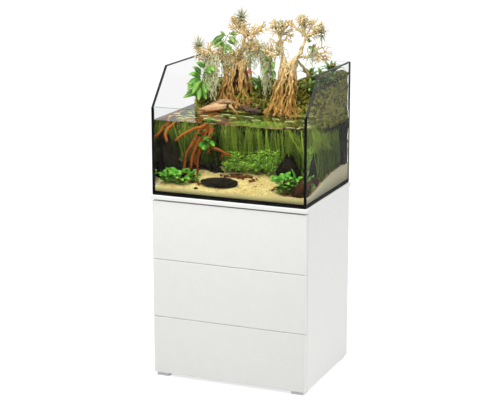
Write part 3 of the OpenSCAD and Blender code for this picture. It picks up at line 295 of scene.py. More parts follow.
def leaf_tones(s, got):
    """A leaf's own tone, its tip, its midrib, its side veins and its small blotches. Growth holds
    the tone and the place along the leaf, and Across the distance from the midrib."""
    tone, along = s.split(got["Growth"])[:2]
    aside = s.split(got["Across"])[0]
    own = s.blend(tone, got["Dark"], got["Light"])
    spots = s.clouds(got["Vector"], 160, 3)
    own = s.blend(s.times(s.band(spots, 0.45, 0.7), got["Blotch"]), own, got["Dark"])
    own = s.blend(s.band(along, 0.55, 1.0, 0.0, 0.8), own, got["Tip"])
    slant = s.calc("SUBTRACT", along, s.times(aside, 0.3))
    rows = s.band(s.calc("SINE", s.times(slant, 56.0)), 0.4, 1.0, 0.0, 0.25)
    veins = s.calc("MAXIMUM", rows, s.band(aside, 0.16, 0.02, 0.0, 0.6))
    fine = s.clouds(got["Vector"], 420, 2)
    relief = s.calc("ADD", s.calc("ADD", spots, veins), s.times(fine, 0.5))
    return s.blend(veins, own, got["Tip"]), relief


WHERE = {"Vector": "Vector", "Scale": "Float"}
MOTTLE = effect(
    mottle, WHERE | {"First": "Color", "Second": "Color", "Flecks": "Color", "Amount": "Float"},
    {"Color": "Color"})
FIBRES = effect(fibres, WHERE | {"Stretch": "Vector"}, {"Mask": "Float", "Height": "Float"})
GRAINS = effect(grains, WHERE, {"Tone": "Float", "Height": "Float"})
SKIN = effect(skin, WHERE, {"Height": "Float", "Dull": "Float"})
LEAF_TONES = effect(
    leaf_tones, {"Growth": "Vector", "Across": "Vector", "Vector": "Vector", "Dark": "Color",
                 "Light": "Color", "Tip": "Color", "Blotch": "Float"},
    {"Color": "Color", "Height": "Float"})


class Finish(Shading):
    """A material with its surface shader and the coordinates of the piece."""

    def __init__(self, name, **values):
        self.material = bpy.data.materials.new(name)
        self.material.use_nodes = True
        super().__init__(self.material.node_tree)
        self.shader = next(n for n in self.tree.nodes if n.type == "BSDF_PRINCIPLED")
        self.where = self.add("ShaderNodeTexCoord").outputs["Object"]
        for key, value in values.items():
            self.shader.inputs[key.replace("_", " ")].default_value = value

    def put(self, group, **values):
        """Puts a group in the material with its own values."""
        return self.add("ShaderNodeGroup", {"Vector": self.where} | values, node_tree=group).outputs

    def link(self, socket, name="Base Color"):
        self.tree.links.new(socket, self.shader.inputs[name])

    def bump(self, height, distance, strength=1.0):
        """Gives the surface its relief, which is the last step, and hands over the material."""
        node = self.add("ShaderNodeBump",
                        {"Height": height, "Distance": distance, "Strength": strength})
        self.link(node.outputs[0], "Normal")
        return self.material


def moulded(name, colour, pale, roughness, scale=900.0, depth=0.00006, **values):
    """Foil, paint, rubber or plastic: nearly one colour, with a fine skin."""
    f = Finish(name, **values)
    face = f.put(SKIN, Scale=scale)
    f.link(f.blend(face["Dull"], colour, pale))
    f.link(f.band(face["Dull"], 0.0, 1.0, roughness, roughness + 0.08), "Roughness")
    return f.bump(face["Height"], depth, 0.6)


def drawn_metal(name, colour, pale, roughness, stretch):
    """Rolled or drawn metal with streaks along its length."""
    f = Finish(name, Metallic=1.0)
    streaks = f.put(FIBRES, Stretch=stretch, Scale=260.0)
    f.link(f.blend(streaks["Mask"], colour, pale))
    f.link(f.band(streaks["Mask"], 0.0, 1.0, roughness, roughness + 0.15), "Roughness")
    return f.bump(streaks["Height"], 0.00003, 0.5)


def clear(name, colour, ior, calm):
    """Glass or water. The part given by calm only bends light and mirrors nothing, as behind a
    polarising filter, except where all light stays inside. Light for shadows and for soft bounces
    goes straight through."""
    f = Finish(name, Transmission_Weight=1.0, IOR=ior, Base_Color=tint(colour), Roughness=0.0)
    bent = f.add("ShaderNodeBsdfRefraction", {"Color": colour, "Roughness": 0.0, "IOR": ior})
    held_in = f.band(f.add("ShaderNodeFresnel", {"IOR": ior}).outputs[0], 0.9, 0.99)
    body = f.layered(f.times(f.calc("SUBTRACT", 1.0, held_in), calm), f.shader, bent)
    open_way = f.add("ShaderNodeBsdfTransparent", {"Color": colour})
    joined = f.layered(f.any_ray("Is Shadow Ray", "Is Diffuse Ray"), body, open_way)
    output = next(n for n in f.tree.nodes if n.type == "OUTPUT_MATERIAL")
    f.tree.links.new(joined.outputs[0], output.inputs["Surface"])
    return f


def rippled_water():
    f = clear("pond_surface", "fbfdf8", 1.33, 0.0)
    return f.bump(f.clouds(f.where, 22.0, 2, 0.4), 0.0009, 0.5)


def foam_mat():
    f = Finish("cell_foam", Roughness=0.95)
    cells = f.put(GRAINS, Scale=900.0)
    f.link(f.blend(cells["Tone"], "1c1c1d", "333335"))
    return f.bump(cells["Height"], 0.0004)


def loose_sand():
    """Grains of many tones, in lighter and darker beds. Sand looks packed where it lies against a
    pane."""
    f = Finish("river_sand", Roughness=0.9, Specular_IOR_Level=0.06)
    loose = f.put(GRAINS, Scale=420.0)
    beds = f.put(MOTTLE, Scale=16.0, First="d9bd7a", Second="bd9a56", Flecks="80662f", Amount=0.4)
    light = f.blend(f.band(loose["Tone"], 0.5, 0.95), beds["Color"], "e9d6a2")
    own = f.blend(f.band(loose["Tone"], 0.16, 0.02), light, "7a6238")
    place = f.split(f.where)
    for axis, half, packed in ((1, half_y, "b5a478"), (0, half_x, "cec8b4")):
        by_glass = f.band(f.calc("ABSOLUTE", place[axis]), (half - 4) / 1000, (half - 1) / 1000,
                          0.0, 0.85)
        own = f.blend(by_glass, own, packed)
    f.link(own)
    return f.bump(loose["Height"], 0.0009, 0.8)


def stone(name, first, second, flecks, scale=26.0, depth=0.0012, roughness=0.6, shine=0.06):
    f = Finish(name, Roughness=roughness, Specular_IOR_Level=shine)
    body = f.put(MOTTLE, Scale=scale, First=first, Second=second, Flecks=flecks, Amount=0.6)
    f.link(body["Color"])
    return f.bump(f.clouds(f.where, scale * 7, 6, 0.65), depth)


def turf():
    """Moss in clumps and tufts: clouds of green and brown, a tone for each tuft, and dark gaps
    between them that are painted shade. Against the right pane it is painted lighter, as painted
    light."""
    f = Finish("bank_moss", Roughness=0.95, Specular_IOR_Level=0.05)
    body = f.put(MOTTLE, Scale=22.0, First="77702a", Second="9d943c", Flecks="85552a", Amount=0.7)
    shift = f.times(0.012, f.clouds(f.where, 120.0, 3))
    bent = f.add("ShaderNodeVectorMath", {0: f.where, 1: shift}, operation="ADD").outputs[0]
    clumps, tufts, pile = (f.put(GRAINS, Vector=bent, Scale=size) for size in (27.0, 95.0, 330.0))
    own = body["Color"]
    right = f.split(f.where)[0]
    for share, colour in (
            (f.band(clumps["Tone"], 0.3, 0.9, 0.0, 0.8), "b4b050"),
            # painted shade in the gaps between clumps
            (f.band(clumps["Height"], 0.62, 0.3, 0.0, 0.8), "23260c"),
            # painted light: the moss by the right pane is lighter
            (f.band(right, 0.27, 0.286, 0.0, 0.5), "b4c05c"),
            (f.band(tufts["Tone"], 0.45, 1.0, 0.0, 0.7), "c3bf55"),
            # painted shade in the gaps between tufts
            (f.band(tufts["Height"], 0.62, 0.3), "262a0c"),
            # painted shade in the gaps between the strands of the pile
            (f.band(pile["Height"], 0.7, 0.3, 0.0, 0.8), "20240b")):
        own = f.blend(share, own, colour)
    f.link(own)
    return f.bump(f.calc("ADD", f.times(tufts["Height"], 2.5), pile["Height"]), 0.003)


def wood(name, low, high, dark, bottom, top, wet=0.0, grain=(1.0, 1.0, 0.16), shine=0.2,
         mossy=0.0):
    """Driftwood: one colour low down and another one higher up, with dark streaks along the grain
    that are partly the grain's own colour and partly painted shade in its cracks, and moss that
    grows on it in patches. bottom and top are metres above the water."""
    f = Finish(name, Coat_Weight=wet, Coat_Roughness=0.25, Specular_IOR_Level=shine)
    height = f.split(f.where)[2]
    bottom, top = water_level + bottom, water_level + top
    streaks = f.put(FIBRES, Stretch=grain, Scale=340.0)
    own = f.blend(f.band(height, bottom, top), low, high)
    # Dark streaks along the grain: the grain's own colour and painted shade in its cracks
    own = f.blend(f.times(streaks["Mask"], 0.6), own, dark)
    own = f.blend(f.band(f.clouds(f.where, 30.0, 4), 0.56, 0.74, 0.0, 0.6), own, dark)
    if mossy:
        patches = f.band(f.clouds(f.where, 34.0, 5), 0.5, 0.62)
        own = f.blend(f.times(patches, f.band(height, top, bottom, 0.0, mossy)), own, "7c8526")
    f.link(own)
    f.link(f.band(streaks["Mask"], 0.0, 1.0, 0.62, 0.85), "Roughness")
    return f.bump(streaks["Height"], 0.0011)


def leafage(name, dark, light, tip, blotch=0.4, roughness=0.45, shine=0.25):
    f = Finish(name, Roughness=roughness, Specular_IOR_Level=shine)
    growth, across = (f.add("ShaderNodeUVMap", uv_map=layer).outputs[0]
                      for layer in ("growth", "across"))
    tones = f.put(LEAF_TONES, Growth=growth, Across=across, Dark=dark, Light=light, Tip=tip,
                  Blotch=blotch)
    f.link(tones["Color"])
    return f.bump(tones["Height"], 0.0003, 0.6)


GLASS = clear("float_glass", "f9fbfa", 1.45, 0.9).material
SIDE_GLASS = clear("side_glass", "f4f4f4", 1.45, 0.86).material
WATER = rippled_water()
WATER_SIDE = clear("pond_side", "fbfdf8", 1.33, 0.95).material
FINISHES = {
    "white_board": moulded("white_foil", "e8e8e5", "eaeae7", 0.35, 1400.0, 0.00004),
    "box_board": moulded("grey_foil", "dadad7", "e4e4e1", 0.5, 700.0, 0.0001),
    "glide_plastic": moulded("foot_plastic", "dcdddd", "e4e5e5", 0.42, 1200.0, 0.00008),
    "zinc": drawn_metal("plated_zinc", "a9abae", "c9cbce", 0.3, (1.0, 1.0, 1.0)),
    "runner_steel": drawn_metal("runner_steel", "9b9da0", "bfc1c4", 0.28, (1.0, 0.04, 1.0)),
    "latch_plastic": moulded("latch_grey", "55575a", "616366", 0.45),
    "plunger_plastic": moulded("plunger_white", "d0d1d2", "dcdddd", 0.4),
    "mat_foam": foam_mat(),
    "glass": GLASS,
    "silicone": moulded("black_silicone", "0a0a0b", "131314", 0.4, 240.0, 0.0003,
                        Specular_IOR_Level=0.2),
    "black_trim": moulded("black_channel", "0c0c0d", "151516", 0.4, 1100.0,
                          Specular_IOR_Level=0.15),
}
MOSS = turf()
SAND = loose_sand()
SLATE = stone("black_slate", "0a0907", "1f1a12", "3a3020", 40.0, 0.0022, 0.9, 0.03)
REAR_ROCK = stone("rear_rock", "181709", "322f1a", "504a2c", 24.0, 0.003, 0.9, 0.03)
GRAVEL = stone("fine_gravel", "b9a275", "8a7450", "e6dcc0", 90.0, 0.0003, 0.7)
STALK = stone("green_stalk", "5b7a26", "7d9a3a", "4b4a22", 60.0, 0.0003, 0.5)
BEARD = stone("beard_moss", "a9a87c", "cccca4", "e6e4c6", 60.0, 0.0006, 0.95)
LYING = (0.16, 1.0, 1.0)
LEFT_WOOD = wood("left_driftwood", "b98a4c", "e6cb90", "4a2d16", 0.08, 0.24, mossy=0.8)
RIGHT_WOOD = wood("right_driftwood", "c99852", "ecd6a0", "5c3a1b", 0.06, 0.24, mossy=0.4)
# A dark wood for the core of each root bundle: painted shade between the roots
SHADE_CORE_WOOD = wood("wood_in_shade", "2e2714", "45351e", "140d07", 0, 0.2, shine=0.03, mossy=0.9)
LOG_WOOD = wood("log_wood", "a26c3c", "caa67c", "42291a", 0.004, 0.03, 0.1, LYING)
DARK_WOOD = wood("dark_log_wood", "3c2c20", "5e4838", "140d08", 0, 0.03, 0.2, LYING)
ROOT_WOOD = wood("red_root", "94481c", "c06c2e", "461e0c", -0.2, 0, shine=0.04)
BARK_WOOD = wood("log_bark", "7c5a3e", "ac8a66", "3c2818", 0, 0.04, grain=LYING)
SUNK_WOOD = wood("sunk_root", "241409", "4a2c17", "0e0704", -0.25, -0.2, grain=(0.5, 0.2, 1.0),
                 shine=0.04)
FALLEN_LEAF = leafage("fallen_leaf", "2a1209", "6b351a", "8a5528", 0.4, 0.7, 0.05)
GRASS = leafage("water_grass", "122505", "a6c642", "bccf58", 0.3, 0.5, 0.04)
FLOAT_LEAF = leafage("floating_leaf", "b9bf62", "eceeb6", "dbdf94", 0.3, 0.35)
STEM_LEAF = leafage("stem_leaf", "559f1e", "bdea52", "d8f27a", 0.15, 0.45, 0.05)
BROAD_LEAF = leafage("broad_leaf", "0c4012", "4f9e2a", "8fc83e", 0.35, 0.35, 0.12)
CLIMB_LEAF = leafage("climber_leaf", "17500f", "6ca338", "8fbc4e", 0.35, 0.4)
HIGH_LEAF = leafage("high_leaf", "2a541c", "78984a", "98ac60")
STRAP_LEAF = leafage("strap_leaf", "1f4c18", "5d9436", "86b052", 0.35, 0.35)
RED_LEAF = leafage("red_leaf", "8a1a1c", "cc4440", "dc7c74", 0.3, 0.35)
AIR_LEAF = leafage("air_leaf", "6c7450", "c2c6a0", "d2caa8", 0.2, 0.75, 0.1)
SPRIG = leafage("moss_sprig", "62701a", "cfcb58", "e2dc7c", 0.3, 0.8, 0.05)

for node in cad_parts.values():
    for place in node.material_slots:
        key = place.material.name.split(".")[0] if place.material else ""
        if key in FINISHES:
            place.material = FINISHES[key]
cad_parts["tank_side_panes"].material_slots[0].material = SIDE_GLASS

# Making


def finished(name, bm, material, node="", smooth_faces=True):
    """Makes a shape a piece that stands on the cabinet and tank, and takes the place of a node if
    one is named."""
    for vert in bm.verts:
        vert.co = spot(vert.co)
    for face in bm.faces:
        face.smooth = smooth_faces
    mesh = bpy.data.meshes.new(name)
    bm.to_mesh(mesh)
    bm.free()
    piece = bpy.data.objects.new(name, mesh)
    bpy.context.scene.collection.objects.link(piece)
    mesh.materials.append(material)
    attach(piece, STAND)
    if node:
        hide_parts(node)
    return piece


class Limbs:
    """Round limbs along paths, gathered and made into one closed mesh."""

    def __init__(self, resolution=1):
        self.curve = bpy.data.curves.new("limbs", "CURVE")
        self.curve.dimensions = "3D"
        self.curve.bevel_depth = 1.0
        self.curve.bevel_resolution = resolution
        self.curve.use_fill_caps = True

    def add(self, path, thick, thin, swell=0.0, rng=None):
        """Radii go from thick to thin in millimetres, and swell and shrink by a share on the
        way."""
        spline = self.curve.splines.new("POLY")
        last = len(path) - 1
        spline.points.add(last)
        places, radii = [], []
        for i, p in enumerate(path):
            own = 1 + (rng.uniform(-swell, swell) if rng and 0 < i < last else 0)
            places.extend((*spot(p), 1.0))
            radii.append(mix(thick, thin, i / last) * own / 1000)
        spline.points.foreach_set("co", places)
        spline.points.foreach_set("radius", radii)

    def wind(self, path, amount, pitch, thick, thin, swell, rng, per_span=4):
        """Adds a limb that winds to and fro along the path."""
        self.add(gnarled(path, amount, pitch, rng, per_span), thick, thin, swell, rng)

    def shape(self):
        holder = bpy.data.objects.new("limbs", self.curve)
        mesh = bpy.data.meshes.new_from_object(holder)
        bpy.data.objects.remove(holder)
        bpy.data.curves.remove(self.curve)
        bm = bmesh.new()
        bm.from_mesh(mesh)
        bpy.data.meshes.remove(mesh)
        for vert in bm.verts:
            vert.co = (vert.co - UP * water_level) * 1000
        bm.normal_update()
        return bm


def roughened(bm, amount, pitch, stretch=(1, 1, 1)):
    """Moves each point along its normal by a noise, as knots, cracks and bark do."""
    bm.normal_update()
    moves = []
    for vert in bm.verts:
        p = Vector([vert.co[k] * stretch[k] for k in range(3)]) / pitch
        wave = noise.fractal(p, 0.9, 2.1, 4) + 0.4 * noise.noise(p * 5.3)
        moves.append(vert.normal * wave * amount)
    for vert, move in zip(bm.verts, moves):
        vert.co += move
    return bm


def deepened(bm, floor_of):
    """Makes a sheet a closed body: a copy of it goes down to a floor, and walls join the two."""
    made = bmesh.ops.extrude_face_region(bm, geom=bm.faces[:])
    for item in made["geom"]:
        if isinstance(item, bmesh.types.BMVert):
            item.co.z = floor_of(item.co)


def turned_out(bm):
    bmesh.ops.recalc_face_normals(bm, faces=bm.faces[:])


def template_mesh(bm):
    """Notes on a leaf how far along it each point is, and how far from the midrib."""
    turned_out(bm)
    growth, across = (bm.loops.layers.uv.new(layer) for layer in ("growth", "across"))
    for face in bm.faces:
        face.smooth = True
        for loop in face.loops:
            loop[growth].uv = (0.5, loop.vert.co.y)
            loop[across].uv = (abs(loop.vert.co.x) * 2, 0)
    mesh = bpy.data.meshes.new("template")
    bm.to_mesh(mesh)
    bm.free()
    return mesh


def sheet_template(across, along, outline):
    """A thin closed leaf, one unit long and one unit wide, with its width given by outline(t)."""
    bm = bmesh.new()
    bmesh.ops.create_grid(bm, x_segments=across, y_segments=along, size=0.5)
    for vert in bm.verts:
        vert.co = at(vert.co.x, vert.co.y + 0.5, -0.5)
    deepened(bm, lambda p: 0.5)
    for vert in bm.verts:
        vert.co.x *= outline(vert.co.y)
    return template_mesh(bm)


def spike_template(sides, rings):
    """A thin closed spike, one unit long."""
    bm = bmesh.new()
    bmesh.ops.create_cone(bm, cap_ends=True, segments=sides, radius1=0.5, radius2=0.03, depth=1.0)
    for vert in bm.verts:
        vert.co = at(vert.co.x, vert.co.z + 0.5, -vert.co.y)
    for k in range(1, rings):
        bmesh.ops.bisect_plane(bm, geom=bm.verts[:] + bm.edges[:] + bm.faces[:], dist=1e-5,
                               plane_co=(0, k / rings, 0), plane_no=(0, 1, 0))
    return template_mesh(bm)


def pointed(widest, fullness):
    """The outline of a leaf that is pointed at both ends."""
    return lambda t: max(0.06, math.sin(math.pi * min(1, t ** widest * 0.98)) ** fullness)


BLADE = sheet_template(1, 6, lambda t: max(0.05, (1 - t) ** 0.6) * (0.6 + 0.4 * min(1, t * 6)))
STRAP = sheet_template(2, 8, lambda t: max(0.05, (1 - t ** 3)) * (0.75 + 0.25 * min(1, t * 4)))
OVATE = sheet_template(6, 9, pointed(0.72, 0.8))
LANCE = sheet_template(2, 5, pointed(0.8, 1))
LANCE_BROAD = sheet_template(4, 9, pointed(0.8, 0.9))
SPIKE = spike_template(3, 4)
TUSSOCK = spike_template(3, 2)


class Foliage:
    """Bent copies of one leaf template, gathered into one shape. Each copy keeps its own tone."""

    def __init__(self, template):
        self.bm = bmesh.new()
        self.mesh = template.copy()
        self.rest = np.zeros(len(template.vertices) * 3)
        template.vertices.foreach_get("co", self.rest)
        self.rest = self.rest.reshape(-1, 3)
        self.stops, self.ring = np.unique(self.rest[:, 1].round(5), return_inverse=True)
        self.growth = np.zeros(len(template.loops) * 2)
        template.uv_layers["growth"].data.foreach_get("uv", self.growth)
        self.growth = self.growth.reshape(-1, 2)

    def add(self, path, width, thick, tone, up=(0, 0, 1), fold=0.0, twist=0.0):
        """The leaf follows the path. Its face looks along up, its edges are lifted by fold, and it
        turns by twist in radians from root to tip."""
        pts = np.array([tuple(p) for p in path], float)
        lengths = np.r_[0, np.cumsum(np.linalg.norm(np.diff(pts, axis=0), axis=1))]
        where = self.stops * lengths[-1]
        spine = np.stack([np.interp(where, lengths, pts[:, k]) for k in range(3)], 1)
        way = np.gradient(spine, axis=0)
        way /= np.linalg.norm(way, axis=1)[:, None] + 1e-9
        side = np.cross(way, np.array(up, float))
        side /= np.linalg.norm(side, axis=1)[:, None] + 1e-9
        face = np.cross(side, way)
        turn = (self.stops * twist)[:, None]
        side, face = (side * np.cos(turn) + face * np.sin(turn),
                      face * np.cos(turn) - side * np.sin(turn))
        r, x, z = self.ring, self.rest[:, 0:1], self.rest[:, 2:3]
        places = spine[r] + side[r] * x * width + face[r] * (z * thick + np.abs(x) * width * fold)
        self.mesh.vertices.foreach_set("co", places.ravel())
        self.growth[:, 0] = tone
        self.mesh.uv_layers["growth"].data.foreach_set("uv", self.growth.ravel())
        self.bm.from_mesh(self.mesh)


def lumpy(bm, radii, centre, roughness, pitch, subdivisions, seed):
    """A closed stone or knot: a ball, stretched, with noise on it."""
    ball = bmesh.ops.create_icosphere(bm, subdivisions=subdivisions, radius=1.0)
    shift = at(seed * 3.7, seed * 1.9, seed * 5.3)
    for vert in ball["verts"]:
        d = vert.co.normalized()
        grow = 1 + roughness * (noise.fractal(d * pitch + shift, 0.8, 2.2, 5))
        vert.co = Vector(centre) + at(d.x * radii[0], d.y * radii[1], d.z * radii[2]) * grow


# Water and ground


def make_water():
    """Water that reaches a little into the glass, down to the bottom pane."""
    bm = bmesh.new()
    bmesh.ops.create_grid(bm, x_segments=90, y_segments=70, size=1.0)
    for vert in bm.verts:
        vert.co = at(vert.co.x * (half_x + 0.6), vert.co.y * (half_y + 0.6))
    deepened(bm, lambda p: -water_depth + 1)
    turned_out(bm)
    for face in bm.faces:
        face.material_index = 0 if face.normal.z > 0.9 else 1
    water = finished("water", bm, WATER, smooth_faces=False)
    water.data.materials.append(WATER_SIDE)


def make_sand():
    bm = bmesh.new()
    bmesh.ops.create_grid(bm, x_segments=170, y_segments=130, size=1.0)
    for vert in bm.verts:
        x, y = vert.co.x * (half_x - 0.3), vert.co.y * (half_y - 0.3)
        p = at(x, y)
        relief = 2.2 * noise.noise(p / 34) + 1.1 * noise.noise(p / 11) + 0.5 * noise.noise(p / 4)
        vert.co = on_sand(x, y, relief)
    deepened(bm, lambda p: -water_depth + 0.5)
    turned_out(bm)
    finished("sand", bm, SAND, "sand_bed")


PEBBLES = 420


def make_pebbles():
    rng = Dice(8)
    bm = bmesh.new()
    for _ in range(PEBBLES):
        x, y = rng.uniform(-284, 284), -219 + 380 * rng.random() ** 1.6
        r = rng.uniform(0.8, 2.6)
        ball = bmesh.ops.create_icosphere(bm, subdivisions=1, radius=1.0)
        turn = rng.uniform(0.6, 1.4)
        for vert in ball["verts"]:
            vert.co = at(vert.co.x * r * turn + x, vert.co.y * r / turn + y,
                         vert.co.z * r * 0.7 + sand_z(x, y) + 0.8)
    finished("gravel", bm, GRAVEL)


# Centre, half sizes, seed, roughness, and how much each stone narrows to its top
STONES = (
    ((-66, -120, -232), (70, 62, 16), 3, 0.16, 0),
    ((-128, 10, -214), (34, 26, 28), 38, 0.5, 0.3),
    ((-290, -96, -152), (44, 46, 84), 17, 0.55, 0.5),
    ((-256, -66, -210), (54, 46, 34), 25, 0.45, 0.2),
    ((-196, 24, -216), (30, 28, 24), 29, 0.5, 0),
    ((182, -34, -186), (50, 36, 64), 31, 0.3, 0.5),
    ((146, -30, -214), (30, 26, 20), 45, 0.4, 0),
    ((-166, 18, -218), (20, 20, 19), 52, 0.3, 0),
    ((-134, -206, -246), (7, 10, 5), 61, 0.2, 0),
    ((-24, -8, -222), (52, 16, 9), 73, 0.3, 0),
    ((76, -118, -240), (8, 7, 6), 84, 0.2, 0))


def make_stones():
    bm = bmesh.new()
    for centre, size, seed, roughness, taper in STONES:
        before = len(bm.verts)
        lumpy(bm, size, centre, roughness, 1.7, 5, seed)
        bm.verts.ensure_lookup_table()
        for vert in bm.verts[before:]:
            narrow = 1 - taper * max(0, (vert.co.z - centre[2]) / size[2] + 0.2)
            vert.co.x = max(-half_x + 1, centre[0] + (vert.co.x - centre[0]) * max(0.1, narrow))
            vert.co.y = centre[1] + (vert.co.y - centre[1]) * max(0.1, narrow)
    finished("ground_slate", bm, SLATE, "ground_stones")


def make_sunk_root():
    """Two thick branches at the front right, and small ones over them."""
    rng = Dice(5)
    root = Limbs(5)
    root.wind([(180, -112, -236), (200, -128, -212), (226, -156, -212), (252, -184, -222),
               (270, -204, -250)], 9, 26, 13, 17, 0.25, rng)
    root.wind([(258, -200, -246), (264, -172, -210), (268, -132, -198), (270, -84, -218)],
              6, 22, 20, 12, 0.25, rng)
    for k in range(6):
        p = at(200 + 12 * k, -126 - 14 * k, -216 - 3 * k)
        root.wind([p, p + at(14, 6, 14), p + at(18 + 5 * k, 2, 2)], 5, 12, 6, 2, 0.2, rng)
    finished("sunk_root", roughened(root.shape(), 4, 15, (0.6, 0.6, 1)), SUNK_WOOD)


# Middle, width and depth, and number of leaves in a patch
LITTER = (((-10, -40), (52, 12), 66), ((44, -70), (14, 8), 9), ((-136, -150), (10, 8), 4),
          ((-172, -128), (14, 8), 6), ((214, -186), (22, 12), 14), ((150, -150), (10, 14), 4))


def make_litter():
    """Fallen leaves that lie on the sand."""
    rng = Dice(47)
    litter = Foliage(OVATE)
    for (x, y), (wide, deep), count in LITTER:
        for _ in range(count):
            px, py = rng.gauss(x, wide * 0.6), rng.gauss(y, deep * 0.6)
            a = rng.uniform(0, 360)
            d = ray(a, rng.uniform(-0.1, 0.5)) * rng.uniform(5, 11)
            p = on_sand(px, py, rng.uniform(1, 5))
            litter.add([p - d, p + UP * 2.5, p + d], rng.uniform(5, 10), 1.2, rng.random(),
                       (rng.uniform(-0.5, 0.5), rng.uniform(-0.7, 0.1), 1),
                       rng.uniform(-0.3, 0.4))
    finished("leaf_litter", litter.bm, FALLEN_LEAF)


def make_rear_rocks():
    """Two rows of rocks that carry the bank and lean on the back pane, two that fill the ends,
    and a low row on top."""
    bm = bmesh.new()
    step = 2 * half_x / 6
    for i in range(6):
        for row in range(2):
            middle = (-half_x + step * (i + 0.4 + 0.2 * row), 202, -188 if row == 0 else -92)
            lumpy(bm, (60 + 5 * scatter(i), 26, 60), middle, 0.5, 1.6, 5, 20 * i + 7 * row)
    for x in (-262, 262):
        lumpy(bm, (44, 24, 50), (x, 203, -138), 0.3, 1.6, 5, x)
    for i in range(7):
        lumpy(bm, (46, 25, 32), (-half_x + step * i, 203, -60), 0.4, 1.6, 4, 11 * i)
    for vert in bm.verts:
        p = vert.co
        p.x = held(p.x, -half_x + 1, half_x - 1)
        p.y = held(p.y, 172, half_y - 1)
        p.z = min(bank_under + 1, p.z)
    finished("rear_rocks", bm, REAR_ROCK, "rear_stones")


# Bank of moss


def nearest(p):
    """The distance to the nearest of the points that are strewn in space, one to a cell."""
    return noise.voronoi(p)[0][0]


def make_bank():
    """A bank with clumps on its top, an uneven underside and dented walls."""
    bm = bmesh.new()
    bmesh.ops.create_grid(bm, x_segments=200, y_segments=84, size=0.5)
    for vert in bm.verts:
        u, v = vert.co.x + 0.5, vert.co.y + 0.5
        x, y = bank_plan(u, v)
        p = at(x, y)
        clumps = 9 * (0.5 - nearest(p / 36)) + 5 * (0.5 - nearest(p / 15))
        relief = clumps + 2.5 * noise.noise(p / 7) + 1.2 * noise.noise(p / 3)
        inner = smooth(min(v * 9, (1 - v) * 30, u * 40, (1 - u) * 40))
        vert.co = at(x, y, bank_z(x, y) + relief * inner + 1)
    deepened(bm, lambda p: (bank_under + 6 * noise.noise(p / 22) * smooth((160 - p.y) / 60)
                            * smooth((p.y - bank_front(p.x)) / 20)))
    walls = [e for e in bm.edges if abs(e.verts[0].co.z - e.verts[1].co.z) > 20
             and (e.verts[0].co - e.verts[1].co).xy.length < 1e-3]
    bmesh.ops.subdivide_edges(bm, edges=walls, cuts=14, use_grid_fill=True)
    turned_out(bm)
    bm.normal_update()
    for vert in bm.verts:
        on_wall = bank_under + 8 < vert.co.z < bank_z(vert.co.x, vert.co.y) - 4
        if on_wall and abs(vert.normal.z) < 0.5:
            dent = 5 * nearest(vert.co / 13) + 20 * nearest(vert.co / 38)
            vert.co -= vert.normal * (dent - 4)
            vert.co.x = held(vert.co.x, -half_x + 1, half_x - 1)
            vert.co.y = min(half_y - 1, vert.co.y)
    finished("moss_mound", bm, MOSS, "moss_bank")


TOP_SPRIGS = 8000
WALL_SPRIGS = 2600
RIGHT_WALL, LEFT_WALL, BACK_WALL = range(3)


def make_sprigs():
    """Short sprigs all over the top of the bank, and longer ones that climb its walls."""
    rng = Dice(21)
    sprigs = Foliage(TUSSOCK)
    count = 0
    while count < TOP_SPRIGS:
        x, y = bank_plan(rng.uniform(0.004, 0.996), 0.97 * rng.random() ** 1.3)
        thin = noise.noise(at(x, y, 3) / 30)
        if rng.random() > 0.75 + 0.5 * thin:
            continue
        count += 1
        foot = at(x, y, bank_z(x, y) - 3)
        lean = rng.within((-1, 1), (-1.2, 0.8), (0.5, 1.4)).normalized()
        l = rng.uniform(6, 13)
        sag = at(lean.x, lean.y, -0.3) * l * 0.3
        sprigs.add([foot, foot + lean * l * 0.55, foot + lean * l + sag], rng.uniform(1.6, 2.8),
                   1.4, rng.random() * (0.6 + 0.4 * max(0, thin)), (lean.y, -lean.x, 0.1))
    for _ in range(WALL_SPRIGS):
        wall = rng.choice((RIGHT_WALL, RIGHT_WALL, LEFT_WALL, BACK_WALL))
        share = rng.random()
        across = (0.99, 0.01, share)[wall]
        x, y = bank_plan(across, 0.97 if wall == BACK_WALL else share * 0.97)
        foot = at(x, y, rng.uniform(bank_under + 4, bank_z(x, y) - 4))
        out = at((1, -1, 0)[wall], (0, 0, 1)[wall])
        along = out.cross(UP)
        l = rng.uniform(8, 15)
        tip = foot + out * 5 + (along * rng.uniform(-1, 1) + UP * rng.uniform(-0.7, 1)) * l
        # Sprigs on the right wall take lighter tones: painted light
        sprigs.add([foot - out * 4, mix(foot, tip, 0.5) + out, tip], rng.uniform(1.8, 3.2), 1.6,
                   rng.uniform(0.7 if wall == RIGHT_WALL else 0.3, 1), out + UP * 0.2)
    finished("moss_sprigs", sprigs.bm, SPRIG)


# Driftwood


